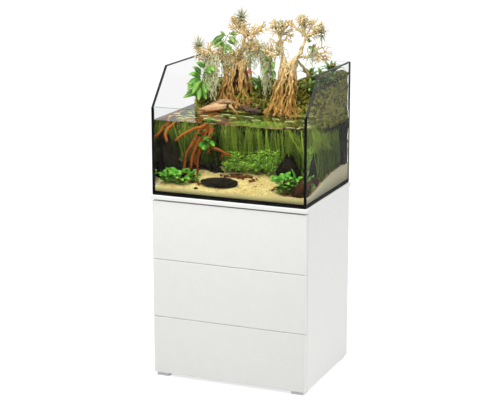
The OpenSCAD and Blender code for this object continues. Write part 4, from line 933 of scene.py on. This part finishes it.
class Tree:
    """One piece of driftwood: thick parts, roots and twigs are gathered apart, because the fine
    ones need fewer sides."""

    def __init__(self, seed):
        self.rng = Dice(seed)
        self.thick, self.roots, self.twigs, self.hollow = (Limbs(sides) for sides in (5, 2, 1, 5))
        self.knots = bmesh.new()

    def root_bundle(self, foot, spread, head, neck, count, r, seed, extra):
        """Roots that wind round each other from an oval on the ground to the head."""
        foot, head, rng = Vector(foot), Vector(head), self.rng
        for i in range(count + extra):
            main = i < count
            a = 360 * (i + 0.3 * scatter(seed + i)) / count if main else rng.uniform(0, 360)
            s = 1.0 if main else rng.uniform(0.35, 1.1)
            turn = 22 if main else 80
            b = a + rng.uniform(-turn, turn)
            p = foot + oval(spread, a, s, 10 * scatter(seed + i + 40))
            q = head + oval(neck, b, 1, 10 * scatter(seed + i + 80)) * 0.85
            toe = p + at(cosd(a) * 12, sind(a) * 12 - 4, -18)
            bow = at(-8 * cosd(a) + rng.uniform(-12, 12), -4 * sind(a))
            path = [toe] + bowed(p, q, bow, 4, 11, seed + 7 * i)
            own = 1 + 0.35 * scatter(seed + i + 120)
            thick = r * own * 0.72 if main else rng.uniform(1.4, 3.0)
            wound = gnarled(path, 7 if main else 10, 22 if main else 15, rng, 7)
            self.roots.add(wound, thick * 0.8, thick * rng.uniform(0.9, 1.15), 0.16, rng)
            for _ in range(2 if main else 1):
                start = wound[int(rng.uniform(0.12, 0.5) * len(wound))]
                end = p + rng.within((-24, 24), (-22, 8), (-16, 0))
                bend = at(rng.uniform(-12, 12), -8, rng.uniform(-4, 6))
                self.roots.wind([start, mix(start, end, 0.5) + bend, end], 7, 14, thick * 0.55,
                                1.2, 0.15, rng, 7)
        for i in range(6):
            side = mix(-0.55, 0.55, i / 5)
            p = foot + at(spread[0] * side * 1.1, -spread[1] * 0.85, 4)
            q = head + at(neck[0] * side, -neck[1] * 0.9, -6)
            path = bowed(p, q, (rng.uniform(-10, 10), -6, 0), 4, 9, seed + 31 * i)
            wound = gnarled(path, 9, 18, rng, 7)
            self.roots.add(wound, rng.uniform(3.4, 5.2), rng.uniform(2.4, 4.0), 0.16, rng)
        # A dark core fills the middle of the bundle: painted shade seen between the roots
        core = [foot - UP * 14, mix(foot, head, 0.5), head]
        self.hollow.add(flowing(core, 6), min(spread) * 0.7, min(spread[1], neck[0]) * 0.5)

    def knotted_head(self, head, neck, count, r, seed):
        for i in range(count):
            share = 0.9 if i % 2 else 0.5
            p = Vector(head) + oval(neck, 360 * i / count, share, 9 * scatter(seed + i))
            lumpy(self.knots, (r, r * 0.9, r * 1.25), p, 0.5, 1.3, 4, seed + i)

    def stem(self, path, thick, thin):
        """A stem with five strands that wind along it and merge with it at its end."""
        self.thick.wind(path, 4, 24, thick * 0.8, thin * 0.8, 0.12, self.rng, 8)
        for _ in range(5):
            side = at(self.rng.uniform(-1, 1), self.rng.uniform(-1, 1)) * thick * 0.7
            strand = [Vector(p) + side * (1 - i / len(path)) for i, p in enumerate(path)]
            self.thick.wind(strand, 5, 16, thick * 0.42, thin * 0.5, 0.2, self.rng, 8)

    def crown(self, base, centre, size, count, r, seed):
        """Branches from the base to an oval, which fork again and again as antlers do."""
        base, centre, size = Vector(base), Vector(centre), Vector(size)
        for i in range(count):
            a = 360 * (i + 0.35 * scatter(seed + i)) / count
            reach = 0.72 + 0.25 * scatter(seed + i + 20)
            up = scatter(seed + i + 60)
            q = centre + oval(size, a, reach, size[2] * up)
            path = bowed(base, q, (0, 0, 8 * up - 4), 2, 4, seed + 9 * i)
            path = gnarled(path, 4, 22, self.rng, 5)
            self.twigs.add(path, r, 2.4, 0.15, self.rng)
            self.fork(q, path[-1] - path[-3], 2.3, 4, centre, size)
            for k in range(4):
                start = path[int(mix(3, len(path) - 2, (k + 0.5) / 4))]
                out = (start - base).normalized() + self.rng.nudge(1.2)
                self.fork(start, out + UP * 0.3, 2.2, 4, centre, size)

    def fork(self, p, way, r, left, centre, size):
        """One nearly straight piece of a twig, and the twigs that leave its end. It stops outside
        the oval."""
        rng = self.rng
        off = p - centre
        edge = (off.x / size.x) ** 2 + (off.y / size.y) ** 2 + (off.z / (size.z + 6)) ** 2
        way = (way.normalized() + off.normalized() * 0.2).normalized()
        q = p + way * rng.uniform(6, 12)
        bend = rng.nudge(1.4)
        thin = max(1.0, r * 0.84)
        self.twigs.add([p, mix(p, q, 0.5) + bend, q], r, thin, 0.1, rng)
        if left > 0 and edge < 1.0:
            for k in range(2 if rng.random() < 0.82 else 1):
                side = rng.nudge(1)
                side = (side - way * side.dot(way)).normalized() * rng.uniform(0.5, 0.95)
                self.fork(q, way + side, thin, left - 1, centre, size)

    def finish(self, name, material, node):
        drawn = (1, 1, 0.3)
        for part, bm, finish, replaced in (
                ("_stems", roughened(self.thick.shape(), 3.2, 13, drawn), material, node),
                ("_knots", roughened(self.knots, 1.6, 6, (1, 1, 0.4)), material, ""),
                ("_roots", roughened(self.roots.shape(), 1.3, 7, drawn), material, ""),
                ("_hollow", roughened(self.hollow.shape(), 5, 16, drawn), SHADE_CORE_WOOD, ""),
                ("_twigs", self.twigs.shape(), material, "")):
            finished(name + part, bm, finish, replaced)


def make_left_tree():
    top = 311
    head, neck = (-84, 46, 186), (56, 18)
    tree = Tree(41)
    tree.root_bundle((-84, 46, 44), (58, 34), head, neck, 15, 6.5, 11, 26)
    tree.knotted_head(head, neck, 15, 12, 60)
    tree.stem([head, (-66, 46, 215), (-56, 48, 250), (-50, 50, top - 26)], 10, 6)
    tree.crown((-50, 50, top - 28), (-46, 50, top + 6), (74, 46, 30), 9, 4.5, 100)
    tree.crown((-50, 48, 226), (2, 44, 238), (50, 30, 20), 6, 3.5, 150)
    tree.stem([(-128, 40, 190), (-160, 30, 200), (-232, 34, 220)], 6.5, 3)
    tree.stem([(-120, 56, 186), (-150, 74, 194), (-186, 84, 200)], 5.5, 3.5)
    tree.crown((-160, 30, 200), (-190, 30, 216), (56, 42, 20), 9, 3.5, 200)
    tree.crown((-110, 48, 196), (-104, 42, 222), (54, 40, 22), 9, 3.5, 250)
    tree.finish("left_driftwood", LEFT_WOOD, "driftwood_left")


def make_right_tree():
    top = 318
    head, neck = (138, 24, 184), (26, 13)
    tree = Tree(77)
    tree.root_bundle((112, 18, 20), (58, 30), head, neck, 13, 6, 311, 34)
    tree.stem([(70, 62, 46), (82, 50, 100), (96, 34, 160), (110, 24, 214)], 9, 7)
    tree.knotted_head(head, neck, 9, 11, 360)
    tree.stem([(124, 24, 184), (112, 24, 216), (106, 22, 250), (102, 20, top - 34)], 10, 5)
    tree.stem([(146, 24, 184), (166, 26, 222), (184, 30, 256), (196, 32, top - 24)], 11, 5)
    tree.stem([(166, 26, 218), (206, 28, 222), (244, 32, 236)], 5.5, 3.5)
    tree.crown((102, 20, top - 40), (100, 22, top - 12), (46, 34, 34), 9, 3.5, 400)
    tree.crown((108, 24, 230), (74, 22, 240), (32, 20, 22), 5, 3, 440)
    tree.crown((196, 32, top - 26), (197, 34, top + 6), (62, 46, 34), 9, 4, 460)
    tree.crown((244, 32, 236), (252, 34, 238), (34, 26, 20), 7, 3, 500)
    tree.stem([(196, 118, 60), (190, 104, 120), (180, 78, 160), (160, 32, 210)], 8, 5.5)
    tree.finish("right_driftwood", RIGHT_WOOD, "driftwood_right")


def broken_chunk(bm, path, radii, sides, rough, seed, flat):
    """A split and weathered piece of trunk: an uneven prism whose rings follow a path."""
    rng = Dice(seed)
    pts = flowing(path, 3)
    rings = len(pts) - 1
    made = bmesh.ops.create_cone(bm, cap_ends=True, segments=sides, radius1=1, radius2=1, depth=1)
    verts = made["verts"]
    for k in range(1, rings):
        edges = [e for e in bm.edges if e.verts[0] in verts]
        faces = [f for f in bm.faces if f.verts[0] in verts]
        made = bmesh.ops.bisect_plane(bm, geom=verts + edges + faces, dist=1e-6,
                                      plane_co=(0, 0, k / rings - 0.5), plane_no=(0, 0, 1))
        verts = verts + [v for v in made["geom_cut"] if isinstance(v, bmesh.types.BMVert)]
    bent = [rng.uniform(1 - rough, 1 + rough) for _ in range(sides)]
    for vert in verts:
        k = round((vert.co.z + 0.5) * rings)
        way = (pts[min(k + 1, rings)] - pts[max(k - 1, 0)]).normalized()
        side = way.cross(UP).normalized()
        over = side.cross(way)
        spoke = round(math.degrees(math.atan2(vert.co.y, vert.co.x)) * sides / 360) % sides
        r = radii[k] * bent[spoke] * (1 + rough * rng.uniform(-0.5, 0.5))
        vert.co = (pts[k] + side * vert.co.x * r + over * vert.co.y * r * flat
                   + way * rng.uniform(-4, 4))


# Name, material, node, amount, pitch and stretch of the bark, and the chunks of each log. A chunk
# has a path, a radius for each ring, sides, roughness, seed and flatness
LOGS = (
    ("floating_log", LOG_WOOD, "surface_log", 2.2, 9, 0.3, (
        (((-204, -34, 0), (-172, -22, 8), (-138, -8, 16), (-106, 4, 20)),
         (10, 13, 15, 17, 18, 19, 19, 18, 16, 12), 7, 0.26, 5, 0.8),
        (((-92, 4, 24), (-70, -14, 16), (-48, -30, 2)), (7, 6, 5, 4, 3.5, 3, 2), 6, 0.2, 13, 1))),
    ("log_crust", BARK_WOOD, "", 3.4, 8, 0.4, (
        (((-166, 0, 26), (-128, 6, 36), (-92, 16, 38), (-62, 24, 28)),
         (6, 10, 13, 15, 15, 16, 14, 13, 11, 8), 8, 0.3, 9, 0.75),)),
    ("dark_log", DARK_WOOD, "", 2.2, 8, 0.35, (
        (((-74, 20, 20), (-36, 8, 18), (0, 4, 14), (36, 2, 10)),
         (11, 13, 13, 12, 12, 11, 10, 9, 8, 6), 8, 0.22, 21, 0.85),
        (((-44, 10, 22), (-30, -8, 22), (-8, -20, 14)), (6, 5, 5, 4, 4, 3, 2), 6, 0.2, 27, 1),
        (((0, 4, 16), (16, 14, 26), (26, 18, 40)), (5, 5, 4, 4, 3, 3, 2), 6, 0.2, 33, 1))))


def make_logs():
    """The floating log, a shell of bark on it and a darker log behind it."""
    for name, material, node, amount, pitch, drawn, chunks in LOGS:
        bm = bmesh.new()
        for chunk in chunks:
            broken_chunk(bm, *chunk)
        bmesh.ops.subdivide_edges(bm, edges=bm.edges[:], cuts=3, use_grid_fill=True)
        rough = roughened(bm, amount, pitch, (drawn, 1, 1))
        finished(name, rough, material, node)


WATER_ROOTS = (
    ((-150, 24, -22), (-165, -60, -41), (-205, -112, -55), (-234, -150, -84)),
    ((-152, 22, -20), (-176, -50, -70), (-206, -84, -130), (-210, -92, -180), (-226, -104, -232)),
    ((-148, 20, -20), (-168, -46, -80), (-188, -80, -150), (-200, -100, -234)),
    ((-146, 20, -22), (-166, -40, -90), (-184, -58, -140), (-182, -60, -183)),
    ((-144, 22, -22), (-160, -36, -100), (-170, -56, -160), (-178, -62, -234)),
    ((-142, 24, -24), (-136, -36, -96), (-134, -50, -136)),
    ((-138, 26, -24), (-128, -44, -104), (-88, -58, -120), (-42, -62, -136)),
    ((-285, 20, -40), (-287, -60, -50), (-285, -112, -62), (-266, -156, -88)))


def make_water_roots():
    """Roots in the water, each with a thin one that leaves it."""
    rng = Dice(31)
    roots = Limbs(3)
    for path in WATER_ROOTS:
        wound = gnarled(path, 6, 34, rng, 7)
        roots.add(wound, 6.2, 4.4, 0.16, rng)
        p = wound[rng.randrange(4, len(wound) - 2)]
        q = p + rng.within((-24, 24), (-22, 12), (-44, -12))
        q.x = max(-leaf_reach, q.x)
        q.z = max(q.z, sand_z(q.x, q.y))
        roots.wind([p, mix(p, q, 0.5) + at(0, -5, 4), q], 4, 14, 2.6, 1.1, 0.1, rng)
    rough = roughened(roots.shape(), 1.0, 10)
    finished("hanging_roots", rough, ROOT_WOOD, "water_roots")


# Plants

BLADES = 1150
BANK_BLADES = 420
# Foot and far end of the long blades that reach the surface
LONG_BLADES = (((-262, 66), (-262, -96)), ((-262, 66), (-196, -112)), ((-60, 122), (-84, -50)),
               ((262, 4), (182, -84)), ((262, -60), (254, -116)))


def make_grass():
    """Grass under the bank and along the side panes, short blades that bend out from under the edge
    of the bank, and a few long ones that lie on the surface."""
    rng = Dice(3)
    grass = Foliage(BLADE)

    def blade(path, width, tone, twist):
        grass.add(flowing(path), width, 0.7, tone, (rng.uniform(-0.6, 0.6), 1, 0), 0.15, twist)

    made = 0
    while made < BLADES:
        kind = rng.random()
        by_bank, by_right = kind < 0.68, 0.68 <= kind < 0.84
        if by_bank:
            x, y = rng.uniform(-276, 240), max(40, rng.gauss(120, 24))
        elif by_right:
            x, y = rng.gauss(262, 13), rng.uniform(-70, 160)
        else:
            x, y = rng.gauss(-258, 12), rng.uniform(30, 150)
        x, y = held(x, -foot_reach, foot_reach), min(165, y)
        tuft = noise.noise(at(x, y * 0.4) / 22)
        if tuft < -0.08:
            continue
        made += 1
        foot = on_sand(x, y, -3)
        under_bank = y > bank_front(x) - 14
        top = mix(foot.z, bank_under - 3 if under_bank else -5, rng.uniform(0.6, 1.0))
        lean = at(55 * tuft + rng.gauss(0, 27), rng.gauss(-12, 16))
        if by_right:
            lean.y -= rng.uniform(0, 1) ** 1.5 * 130
        lean.x = held(lean.x, -blade_reach - x, blade_reach - x)
        mid = foot + at(lean.x * 0.12, lean.y * 0.12, (top - foot.z) * 0.62)
        sunny = 0.75 * by_right
        if by_bank:
            sunny = smooth((x + 150) / 130) * smooth((300 - x) / 200)
        blade([foot, mid, at(x + lean.x, y + lean.y, top)],
              rng.uniform(2.0, 4.2) + 1.2 * (x > 240),
              rng.random() ** mix(3, 0.9, sunny) * mix(0.3, 1, sunny), rng.uniform(-1.2, 1.2))
    for _ in range(BANK_BLADES):
        x, y = rng.uniform(-270, 262), rng.uniform(34, 62)
        if noise.noise(at(x, 9, 4) / 26) < -0.1:
            continue
        foot = on_sand(x, y, -3)
        side = rng.gauss(0, 16)
        edge = min(bank_front(x), y)
        bend = at(x + side * 0.7, edge - 9, -46)
        top = at(held(x + side + rng.uniform(-14, 14), -foot_reach, foot_reach),
                 edge - rng.uniform(16, 34), -3)
        path = [foot, mix(foot, bend, 0.5), bend]
        if rng.random() < 0.6:
            path.append(top)
        # Blades further to the left take darker tones: painted shade, as with sunny above
        blade(path, rng.uniform(1.8, 3.4),
              (0.1 + 0.9 * rng.random()) * mix(0.35, 1, smooth((x + 150) / 130)),
              rng.uniform(-0.8, 0.8))
    for foot, end in LONG_BLADES:
        p, q = on_sand(*foot, 0), at(*end, -2)
        path = [p, mix(p, q, 0.5) + at(0, -30, 20), q + at(-14, 26, -4), q, q + at(16, -6, 1)]
        grass.add(flowing(path, 5), 5.5, 0.9, 0.8, (0, 1, 0.3), 0.1)
    finished("water_grass", grass.bm, GRASS, "grass")


# Place and bearing
FLOATING = (
    (-262, -96, 10), (-196, -112, -20), (-84, -50, 30), (182, -84, 20), (254, -116, 70),
    (-236, -130, 40), (-150, -96, 0), (-120, -140, 60), (-226, -60, -30), (-40, -92, 10),
    (10, -60, -10), (-180, -150, 25), (60, -110, 15), (230, -60, 0), (-262, -150, 80),
    (120, -64, -25), (-100, -84, 10), (-210, -176, 5), (258, -190, 70), (276, -156, 84),
    (226, -198, 15))


def make_floating_leaves():
    rng = Dice(14)
    leaves = Foliage(LANCE)
    for x, y, a in FLOATING:
        d = ray(a) * rng.uniform(24, 44) / 2
        c = at(x, y, 0.8)
        leaves.add([c - d, c + at(0, 2, 1.2), c + d], rng.uniform(5, 9), 0.9, rng.random(),
                   fold=0.12)
    finished("floating_leaves", leaves.bm, FLOAT_LEAF)


def make_stem_plants():
    """A row of stems with rings of four leaves. Those at the right are taller."""
    rng = Dice(9)
    leaves = Foliage(LANCE)
    stems = Limbs(0)
    for i in range(20):
        x, y = -80 + 10.6 * i + rng.uniform(-5, 5), 20 + rng.uniform(-22, 16)
        h = rng.uniform(30, 82) + (22 if i > 11 else 0)
        foot = on_sand(x, y, -2)
        top = foot + at(rng.uniform(-16, 16), rng.uniform(-18, 2), h)
        stems.add(flowing([foot, mix(foot, top, 0.5) + at(rng.uniform(-4, 4), 0), top]), 1.4, 0.8)
        for k in range(7):
            p = mix(foot, top, 0.25 + 0.75 * k / 6)
            for j in range(4):
                a = 90 * j + 45 * k + rng.uniform(-20, 20)
                l = rng.uniform(20, 36) * (1 - 0.3 * k / 6)
                out = ray(a, rng.uniform(0.1, 0.8))
                leaves.add([p, p + out * l * 0.5, p + out * l - UP * l * 0.25],
                           rng.uniform(4, 6.5), 0.7, rng.random() * 0.6 + 0.4 * k / 6, fold=0.15)
    finished("stem_plant_leaves", leaves.bm, STEM_LEAF, "stem_plants")
    finished("stem_plant_stems", stems.shape(), STALK)


# Place, half sizes, leaves in a ring, and seed
BROAD = (((-254, -176), (18, 18), 7, 0), ((-218, -160), (18, 14), 5, 30),
         ((-172, -120), (14, 12), 5, 45), ((200, -176), (30, 22), 8, 60),
         ((240, -150), (26, 20), 7, 90))
# Place on a root, and direction
ROOT_LEAVES = (
    ((-160, -36, -100), (0.3, -0.8, -0.5)), ((-160, -36, -100), (-0.5, -0.7, -0.4)),
    ((-166, -40, -90), (-0.3, -0.6, 0.7)), ((-136, -36, -96), (0.7, -0.6, -0.2)),
    ((-136, -36, -96), (0.2, -0.8, 0.5)), ((-136, -36, -96), (-0.2, -0.7, -0.7)))


def make_broad_leaves():
    """Plants with three rings of broad leaves on the sand, leaves that grow on the roots, and one
    leaf that stands high at the right."""
    rng = Dice(6)
    leaves = Foliage(OVATE)
    stalks = Limbs(1)

    def leaf(root, p, q, width, tone):
        way = (q - p).normalized()
        up = way.cross(UP).normalized().cross(way) + at(0, -0.35)
        stalks.add(flowing([root, mix(root, p, 0.6) + UP * 4, p]), 1.3, 1.0)
        leaves.add(flowing([p, mix(p, q, 0.5) + up * 3, q - up * 3]), width, 0.9, tone, up, 0.22,
                   rng.uniform(-0.3, 0.3))

    for (x, y), size, count, seed in BROAD:
        root = on_sand(x, y, 2)
        stalks.add([root + at(-16, -5, 3), root, root + at(16, 6, 3)], 4.5, 3.5, 0.1, rng)
        for i in range(count * 3):
            j, ring = divmod(i, 3)
            a = 360 * j / count + 30 * scatter(seed + j) + ring * 31
            h = 24 + 12 * scatter(seed + j + 5) + size[0] / 2 * (j % 3) - ring * 9
            p = root + oval(size, a, 1.0 - 0.25 * ring, h)
            d = ray(a, 0.45 + 0.35 * scatter(seed + j + 9))
            l = rng.uniform(0.8, 1.1) * 31 * (1.0 if size[0] > 16 else 0.72)
            q = p + d * l
            while abs(q.x) > half_x - 5 or abs(q.y) > half_y - 5:
                q = mix(p, q, 0.85)
            leaf(root, p, q, l * rng.uniform(0.66, 0.8), rng.random())
    for place, way in ROOT_LEAVES:
        for k in range(3):
            stray = Vector([rng.uniform(-0.5, 0.5) * k for _ in range(3)])
            d = (Vector(way) + stray).normalized()
            p = Vector(place) + UP * 10 * k
            leaf(p, p + d * 9, p + d * (9 + 32 * (1 - 0.2 * k)), 21 * (1 - 0.15 * k),
                 rng.random() * 0.7)
    root = on_sand(238, -160, 2)
    leaf(root, root + at(-2, -6, 42), root + at(-8, -12, 92), 26, 1.0)
    finished("broad_leaves", leaves.bm, BROAD_LEAF, "broad_leaf_plants")
    finished("broad_leaf_stalks", stalks.shape(), STALK)


# Path and thickness
CLIMBER_STEMS = (
    (((-212, 70, 40), (-220, 40, 78), (-206, 10, 110), (-190, -4, 150), (-168, 4, 180)), 2.8),
    (((-104, 34, 196), (-120, 22, 226), (-120, 16, 256), (-104, 18, 288)), 2.2),
    (((44, 72, 98), (52, 52, 150), (62, 34, 206)), 2.2))
# Root and tip
CLIMBER_LEAVES = (
    ((-222, 34, 62), (-284, 6, 42)), ((-222, 30, 128), (-262, 2, 74)),
    ((-216, 22, 116), (-240, -6, 62)), ((-210, 14, 110), (-180, -12, 70)),
    ((-208, 12, 122), (-256, -4, 136)), ((-202, 4, 134), (-236, -12, 166)),
    ((-196, 0, 146), (-160, -18, 148)), ((-188, -2, 158), (-222, -14, 184)),
    ((-178, 2, 170), (-146, -16, 154)), ((-212, 18, 98), (-172, -8, 96)),
    ((-218, 28, 88), (-262, 4, 98)), ((-214, 18, 92), (-212, -14, 40)),
    ((-204, 10, 114), (-216, -16, 98)), ((-214, 44, 66), (-190, 12, 46)),
    ((-200, 20, 128), (-178, -4, 116)))
HIGH_LEAVES = (
    ((-111, 18, 288), (-166, 6, 246)), ((-120, 17, 272), (-152, 2, 236)),
    ((-102, 18, 290), (-62, 8, 292)), ((-112, 18, 268), (-60, 4, 256)),
    ((-114, 18, 262), (-112, -2, 216)), ((-106, 18, 284), (-72, 2, 262)),
    ((-112, 18, 284), (-136, 8, 300)), ((-120, 17, 258), (-172, 10, 256)),
    ((-120, 18, 246), (-86, 0, 226)), ((206, 26, 274), (224, 2, 292)),
    ((206, 26, 262), (232, 2, 250)), ((60, 36, 200), (84, 10, 176)),
    ((56, 44, 180), (36, 14, 150)), ((54, 50, 164), (84, 18, 136)),
    ((60, 38, 196), (34, 14, 206)))


def make_climber():
    """Stems that climb the driftwood. Each place has its leaf and a second one near it."""
    rng = Dice(17)
    stems = Limbs(2)
    for path, r in CLIMBER_STEMS:
        stems.add(gnarled(path, 3, 20, rng, 6), r, 1.5)
    for name, places, broad, finish, node in (
            ("climber_leaves", CLIMBER_LEAVES, 0.36, CLIMB_LEAF, "climber"),
            ("high_leaves", HIGH_LEAVES, 0.34, HIGH_LEAF, "")):
        leaves = Foliage(LANCE_BROAD)
        for root, tip in places:
            for second in (False, True):
                p, q = Vector(root), Vector(tip)
                if second:
                    q = mix(p, q + rng.within((-34, 34), (-10, 20), (-30, 22)), 0.75)
                    q.x = max(-leaf_reach, q.x)
                l = (q - p).length
                start = mix(p, q, 0.16)
                stems.add([p, start], 1.2, 0.9)
                up = at(0, -0.85, 0.55) + at(rng.uniform(-0.3, 0.3), 0, rng.uniform(-0.3, 0.3))
                leaves.add(flowing([start, mix(start, q, 0.5) + at(0, -2, l * 0.12), q]),
                           l * broad, 0.9, rng.random(), up, -0.16, rng.uniform(-0.4, 0.4))
        finished(name, leaves.bm, finish, node)
    finished("climber_stems", stems.shape(), STALK)


def rosette(foliage, root, count, length, width, arch, rise, thick, fold, wall, rng):
    """Leaves that rise from a cup and arch over. Inner leaves stand more upright, and those that
    would pass the wall are shorter."""
    root = Vector(root)
    for i in range(count):
        a = 137.5 * i + rng.uniform(-12, 12)
        el = mix(*rise, (i / count) ** 0.9) + rng.uniform(-7, 7)
        out = at(cosd(a) * cosd(el), sind(a) * cosd(el), sind(el))
        l = length * rng.uniform(0.75, 1.0)
        over = abs(root.x + out.x * l)
        if over > wall:
            l *= max(0.3, (wall - abs(root.x)) / (over - abs(root.x)))
        path = [root, root + out * l * 0.4, root + out * l * 0.75 - UP * (l * arch * 0.3),
                root + out * l - UP * (l * arch)]
        up = (-cosd(a) * sind(el), -sind(a) * sind(el), cosd(el))
        foliage.add(flowing(path), width, thick, rng.random(), up, fold)


# Place, leaves and size
BROMELIADS = (((236, 96, 122), 18, 1.15), ((256, 150, 152), 15, 1), ((206, 60, 96), 15, 0.9),
              ((2, 70, 92), 16, 1), ((172, 150, 128), 12, 0.9))


def make_bromeliads():
    """Rosettes with a red cup and a foot in the moss, and one red leaf that lies out."""
    rng = Dice(23)
    leaves = Foliage(STRAP)
    cups = Foliage(STRAP)
    stalks = Limbs(2)
    for place, count, size in BROMELIADS:
        p = Vector(place)
        rosette(leaves, p, count, 72 * size, 15 * size, 0.3, (12, 72), 1.0, 0.25, leaf_reach, rng)
        rosette(cups, p + UP * 4, 10, 34 * size, 9 * size, 0.12, (34, 84), 1.0, 0.25, leaf_reach,
                rng)
        foot = at(p.x, p.y, bank_z(p.x, p.y) - 6)
        stalks.add([foot, mix(foot, p, 0.5), p], 4, 4.5)
    out = [(-34, 48, 118), (-36, 26, 154), (-8, 14, 158), (16, 10, 140)]
    cups.add(flowing(out, 5), 8, 1.0, 0.3, (0, -0.4, 1), 0.2)
    finished("bromeliad_leaves", leaves.bm, STRAP_LEAF, "bromeliads")
    finished("bromeliad_cups", cups.bm, RED_LEAF)
    finished("bromeliad_feet", stalks.shape(), STALK)


# Place and size
AIR_PLANTS = (((-62, 48, 349), 1.1), ((-230, 34, 236), 1.1), ((104, 16, 324), 0.9),
              ((256, 32, 310), 1), ((182, 30, 348), 0.75))


def make_air_plants():
    """Balls of silvery needles on the driftwood: a full rosette, and needles that hang down."""
    rng = Dice(29)
    leaves = Foliage(SPIKE)
    stalks = Limbs(1)
    for place, size in AIR_PLANTS:
        p = Vector(place)
        rosette(leaves, p, 46, 58 * size, 5.6, 0.14, (-10, 86), 2.6, 0, needle_reach, rng)
        rosette(leaves, p - UP * 8, 16, 40 * size, 4.6, 0.3, (-60, 10), 2.4, 0, needle_reach, rng)
        foot = [p - UP * 56, p - UP * 30, p - UP * 10, p]
        stalks.wind(foot, 3, 16, 2.0, 3.0, 0.15, rng)
    finished("air_plant_leaves", leaves.bm, AIR_LEAF, "air_plants")
    finished("air_plant_feet", stalks.shape(), LEFT_WOOD)


# Top, half sizes, longest drop and strands
HANKS = (((-162, 6, 200), (30, 8), 160, 80), ((36, 46, 246), (22, 8), 200, 76),
         ((-20, 34, 232), (20, 8), 70, 34), ((-196, 22, 206), (20, 10), 60, 24),
         ((-110, 24, 206), (30, 8), 50, 26), ((6, 40, 262), (30, 12), 70, 54),
         ((-64, 40, 268), (26, 14), 36, 22), ((222, 26, 244), (32, 12), 40, 34),
         ((104, 16, 250), (22, 12), 34, 18))


def make_beards():
    """Hanks of moss that hang from the driftwood and end above the bank or the water."""
    rng = Dice(37)
    strands = Limbs(1)
    for place, half, drop, count in HANKS:
        for _ in range(count):
            u, v = rng.gauss(0, 0.6), rng.gauss(0, 0.6)
            p = Vector(place) + at(half[0] * u, half[1] * v, rng.uniform(-24, 16))
            l = drop * (0.3 + 0.7 * rng.random() ** 0.8) * (1 - 0.35 * abs(u))
            q = p + at(rng.uniform(-8, 8), rng.uniform(-6, 3), -l)
            q.z = max(q.z, bank_z(q.x, q.y) + 4 if q.y > bank_front(q.x) else 6)
            shift = at(rng.uniform(-4, 4), rng.uniform(-4, 4))
            path = [p, mix(p, q, 0.5) + shift, q]
            strands.add(gnarled(path, 13, 13, rng, max(6, int(l / 5))), 1.3, 0.9)
    finished("beard_strands", strands.shape(), BEARD, "hanging_moss")


for make in (make_water, make_sand, make_pebbles, make_stones, make_sunk_root, make_litter,
             make_rear_rocks, make_bank, make_sprigs, make_left_tree, make_right_tree, make_logs,
             make_water_roots, make_grass, make_floating_leaves, make_stem_plants,
             make_broad_leaves, make_climber, make_bromeliads, make_air_plants, make_beards):
    make()

# Studio

BLACK, WHITE = (0, 0, 0, 1), (1, 1, 1, 1)
SEEN_RAYS = ("Is Camera Ray", "Is Glossy Ray", "Is Transmission Ray")


def make_floor():
    bm = bmesh.new()
    bmesh.ops.create_grid(bm, x_segments=4, y_segments=4, size=40.0)
    mesh = bpy.data.meshes.new("studio_floor")
    bm.to_mesh(mesh)
    bm.free()
    f = Finish("floor_paint", Roughness=0.9, Emission_Strength=0.74)
    f.link(f.blend(f.band(f.clouds(f.where, 0.8, 3), 0.3, 0.7), "acacac", "b0b0b0"))
    f.link(f.blend(f.any_ray(*SEEN_RAYS), BLACK, WHITE), "Emission Color")
    floor = bpy.data.objects.new("studio_floor", mesh)
    bpy.context.scene.collection.objects.link(floor)
    mesh.materials.append(f.material)


def make_world():
    """A white surround, dimmer for the light that it gives than for the eye."""
    world = bpy.data.worlds.new("studio")
    world.use_nodes = True
    s = Shading(world.node_tree)
    sky = next(n for n in s.tree.nodes if n.type == "BACKGROUND")
    out = next(n for n in s.tree.nodes if n.type == "OUTPUT_WORLD")
    sky.inputs["Color"].default_value = WHITE
    sky.inputs["Strength"].default_value = 0.38
    seen = s.add("ShaderNodeBackground", {"Color": WHITE, "Strength": 1.0})
    joined = s.layered(s.any_ray(*SEEN_RAYS), sky, seen)
    s.tree.links.new(joined.outputs[0], out.inputs["Surface"])
    bpy.context.scene.world = world


def aimed(data, target, azimuth, elevation, distance):
    """Puts a lamp or a camera at a bearing round the object, a height in degrees and a distance
    from the target, which it looks at."""
    holder = bpy.data.objects.new(data.name, data)
    way = at(sind(azimuth) * cosd(elevation), -cosd(azimuth) * cosd(elevation), sind(elevation))
    holder.location = target + way * distance
    holder.rotation_euler = way.to_track_quat("Z", "Y").to_euler()
    bpy.context.scene.collection.objects.link(holder)
    return holder


# Name, bearing, height, distance, energy, and size in metres or angle in degrees
BOXES = (("softbox", -10, 40, 1.9, 30, 1.4), ("top_box", -30, 78, 1.6, 30, 1.3))
SUNS = (("front_lamp", 16, 16, 6, 0.16, 24), ("back_lamp", 200, 40, 6, 0.6, 40),
        ("side_lamp", 84, 34, 6, 1.5, 40))


def make_lamps():
    for kind, lamps in (("AREA", BOXES), ("SUN", SUNS)):
        for name, azimuth, elevation, distance, energy, wide in lamps:
            data = bpy.data.lights.new(name, kind)
            data.energy = energy
            if kind == "AREA":
                data.size = wide
            else:
                data.angle = math.radians(wide)
            aimed(data, UP * water_level, azimuth, elevation, distance)


def make_camera():
    data = bpy.data.cameras.new("camera")
    data.sensor_width = 36
    data.lens = 112.145
    data.clip_end = 200
    bpy.context.scene.camera = aimed(data, at(-0.00952, 0, 0.6538), 22.323, 13.632, 5.83297)


make_floor()
make_world()
make_lamps()
make_camera()
bpy.context.scene.view_settings.view_transform = "Standard"
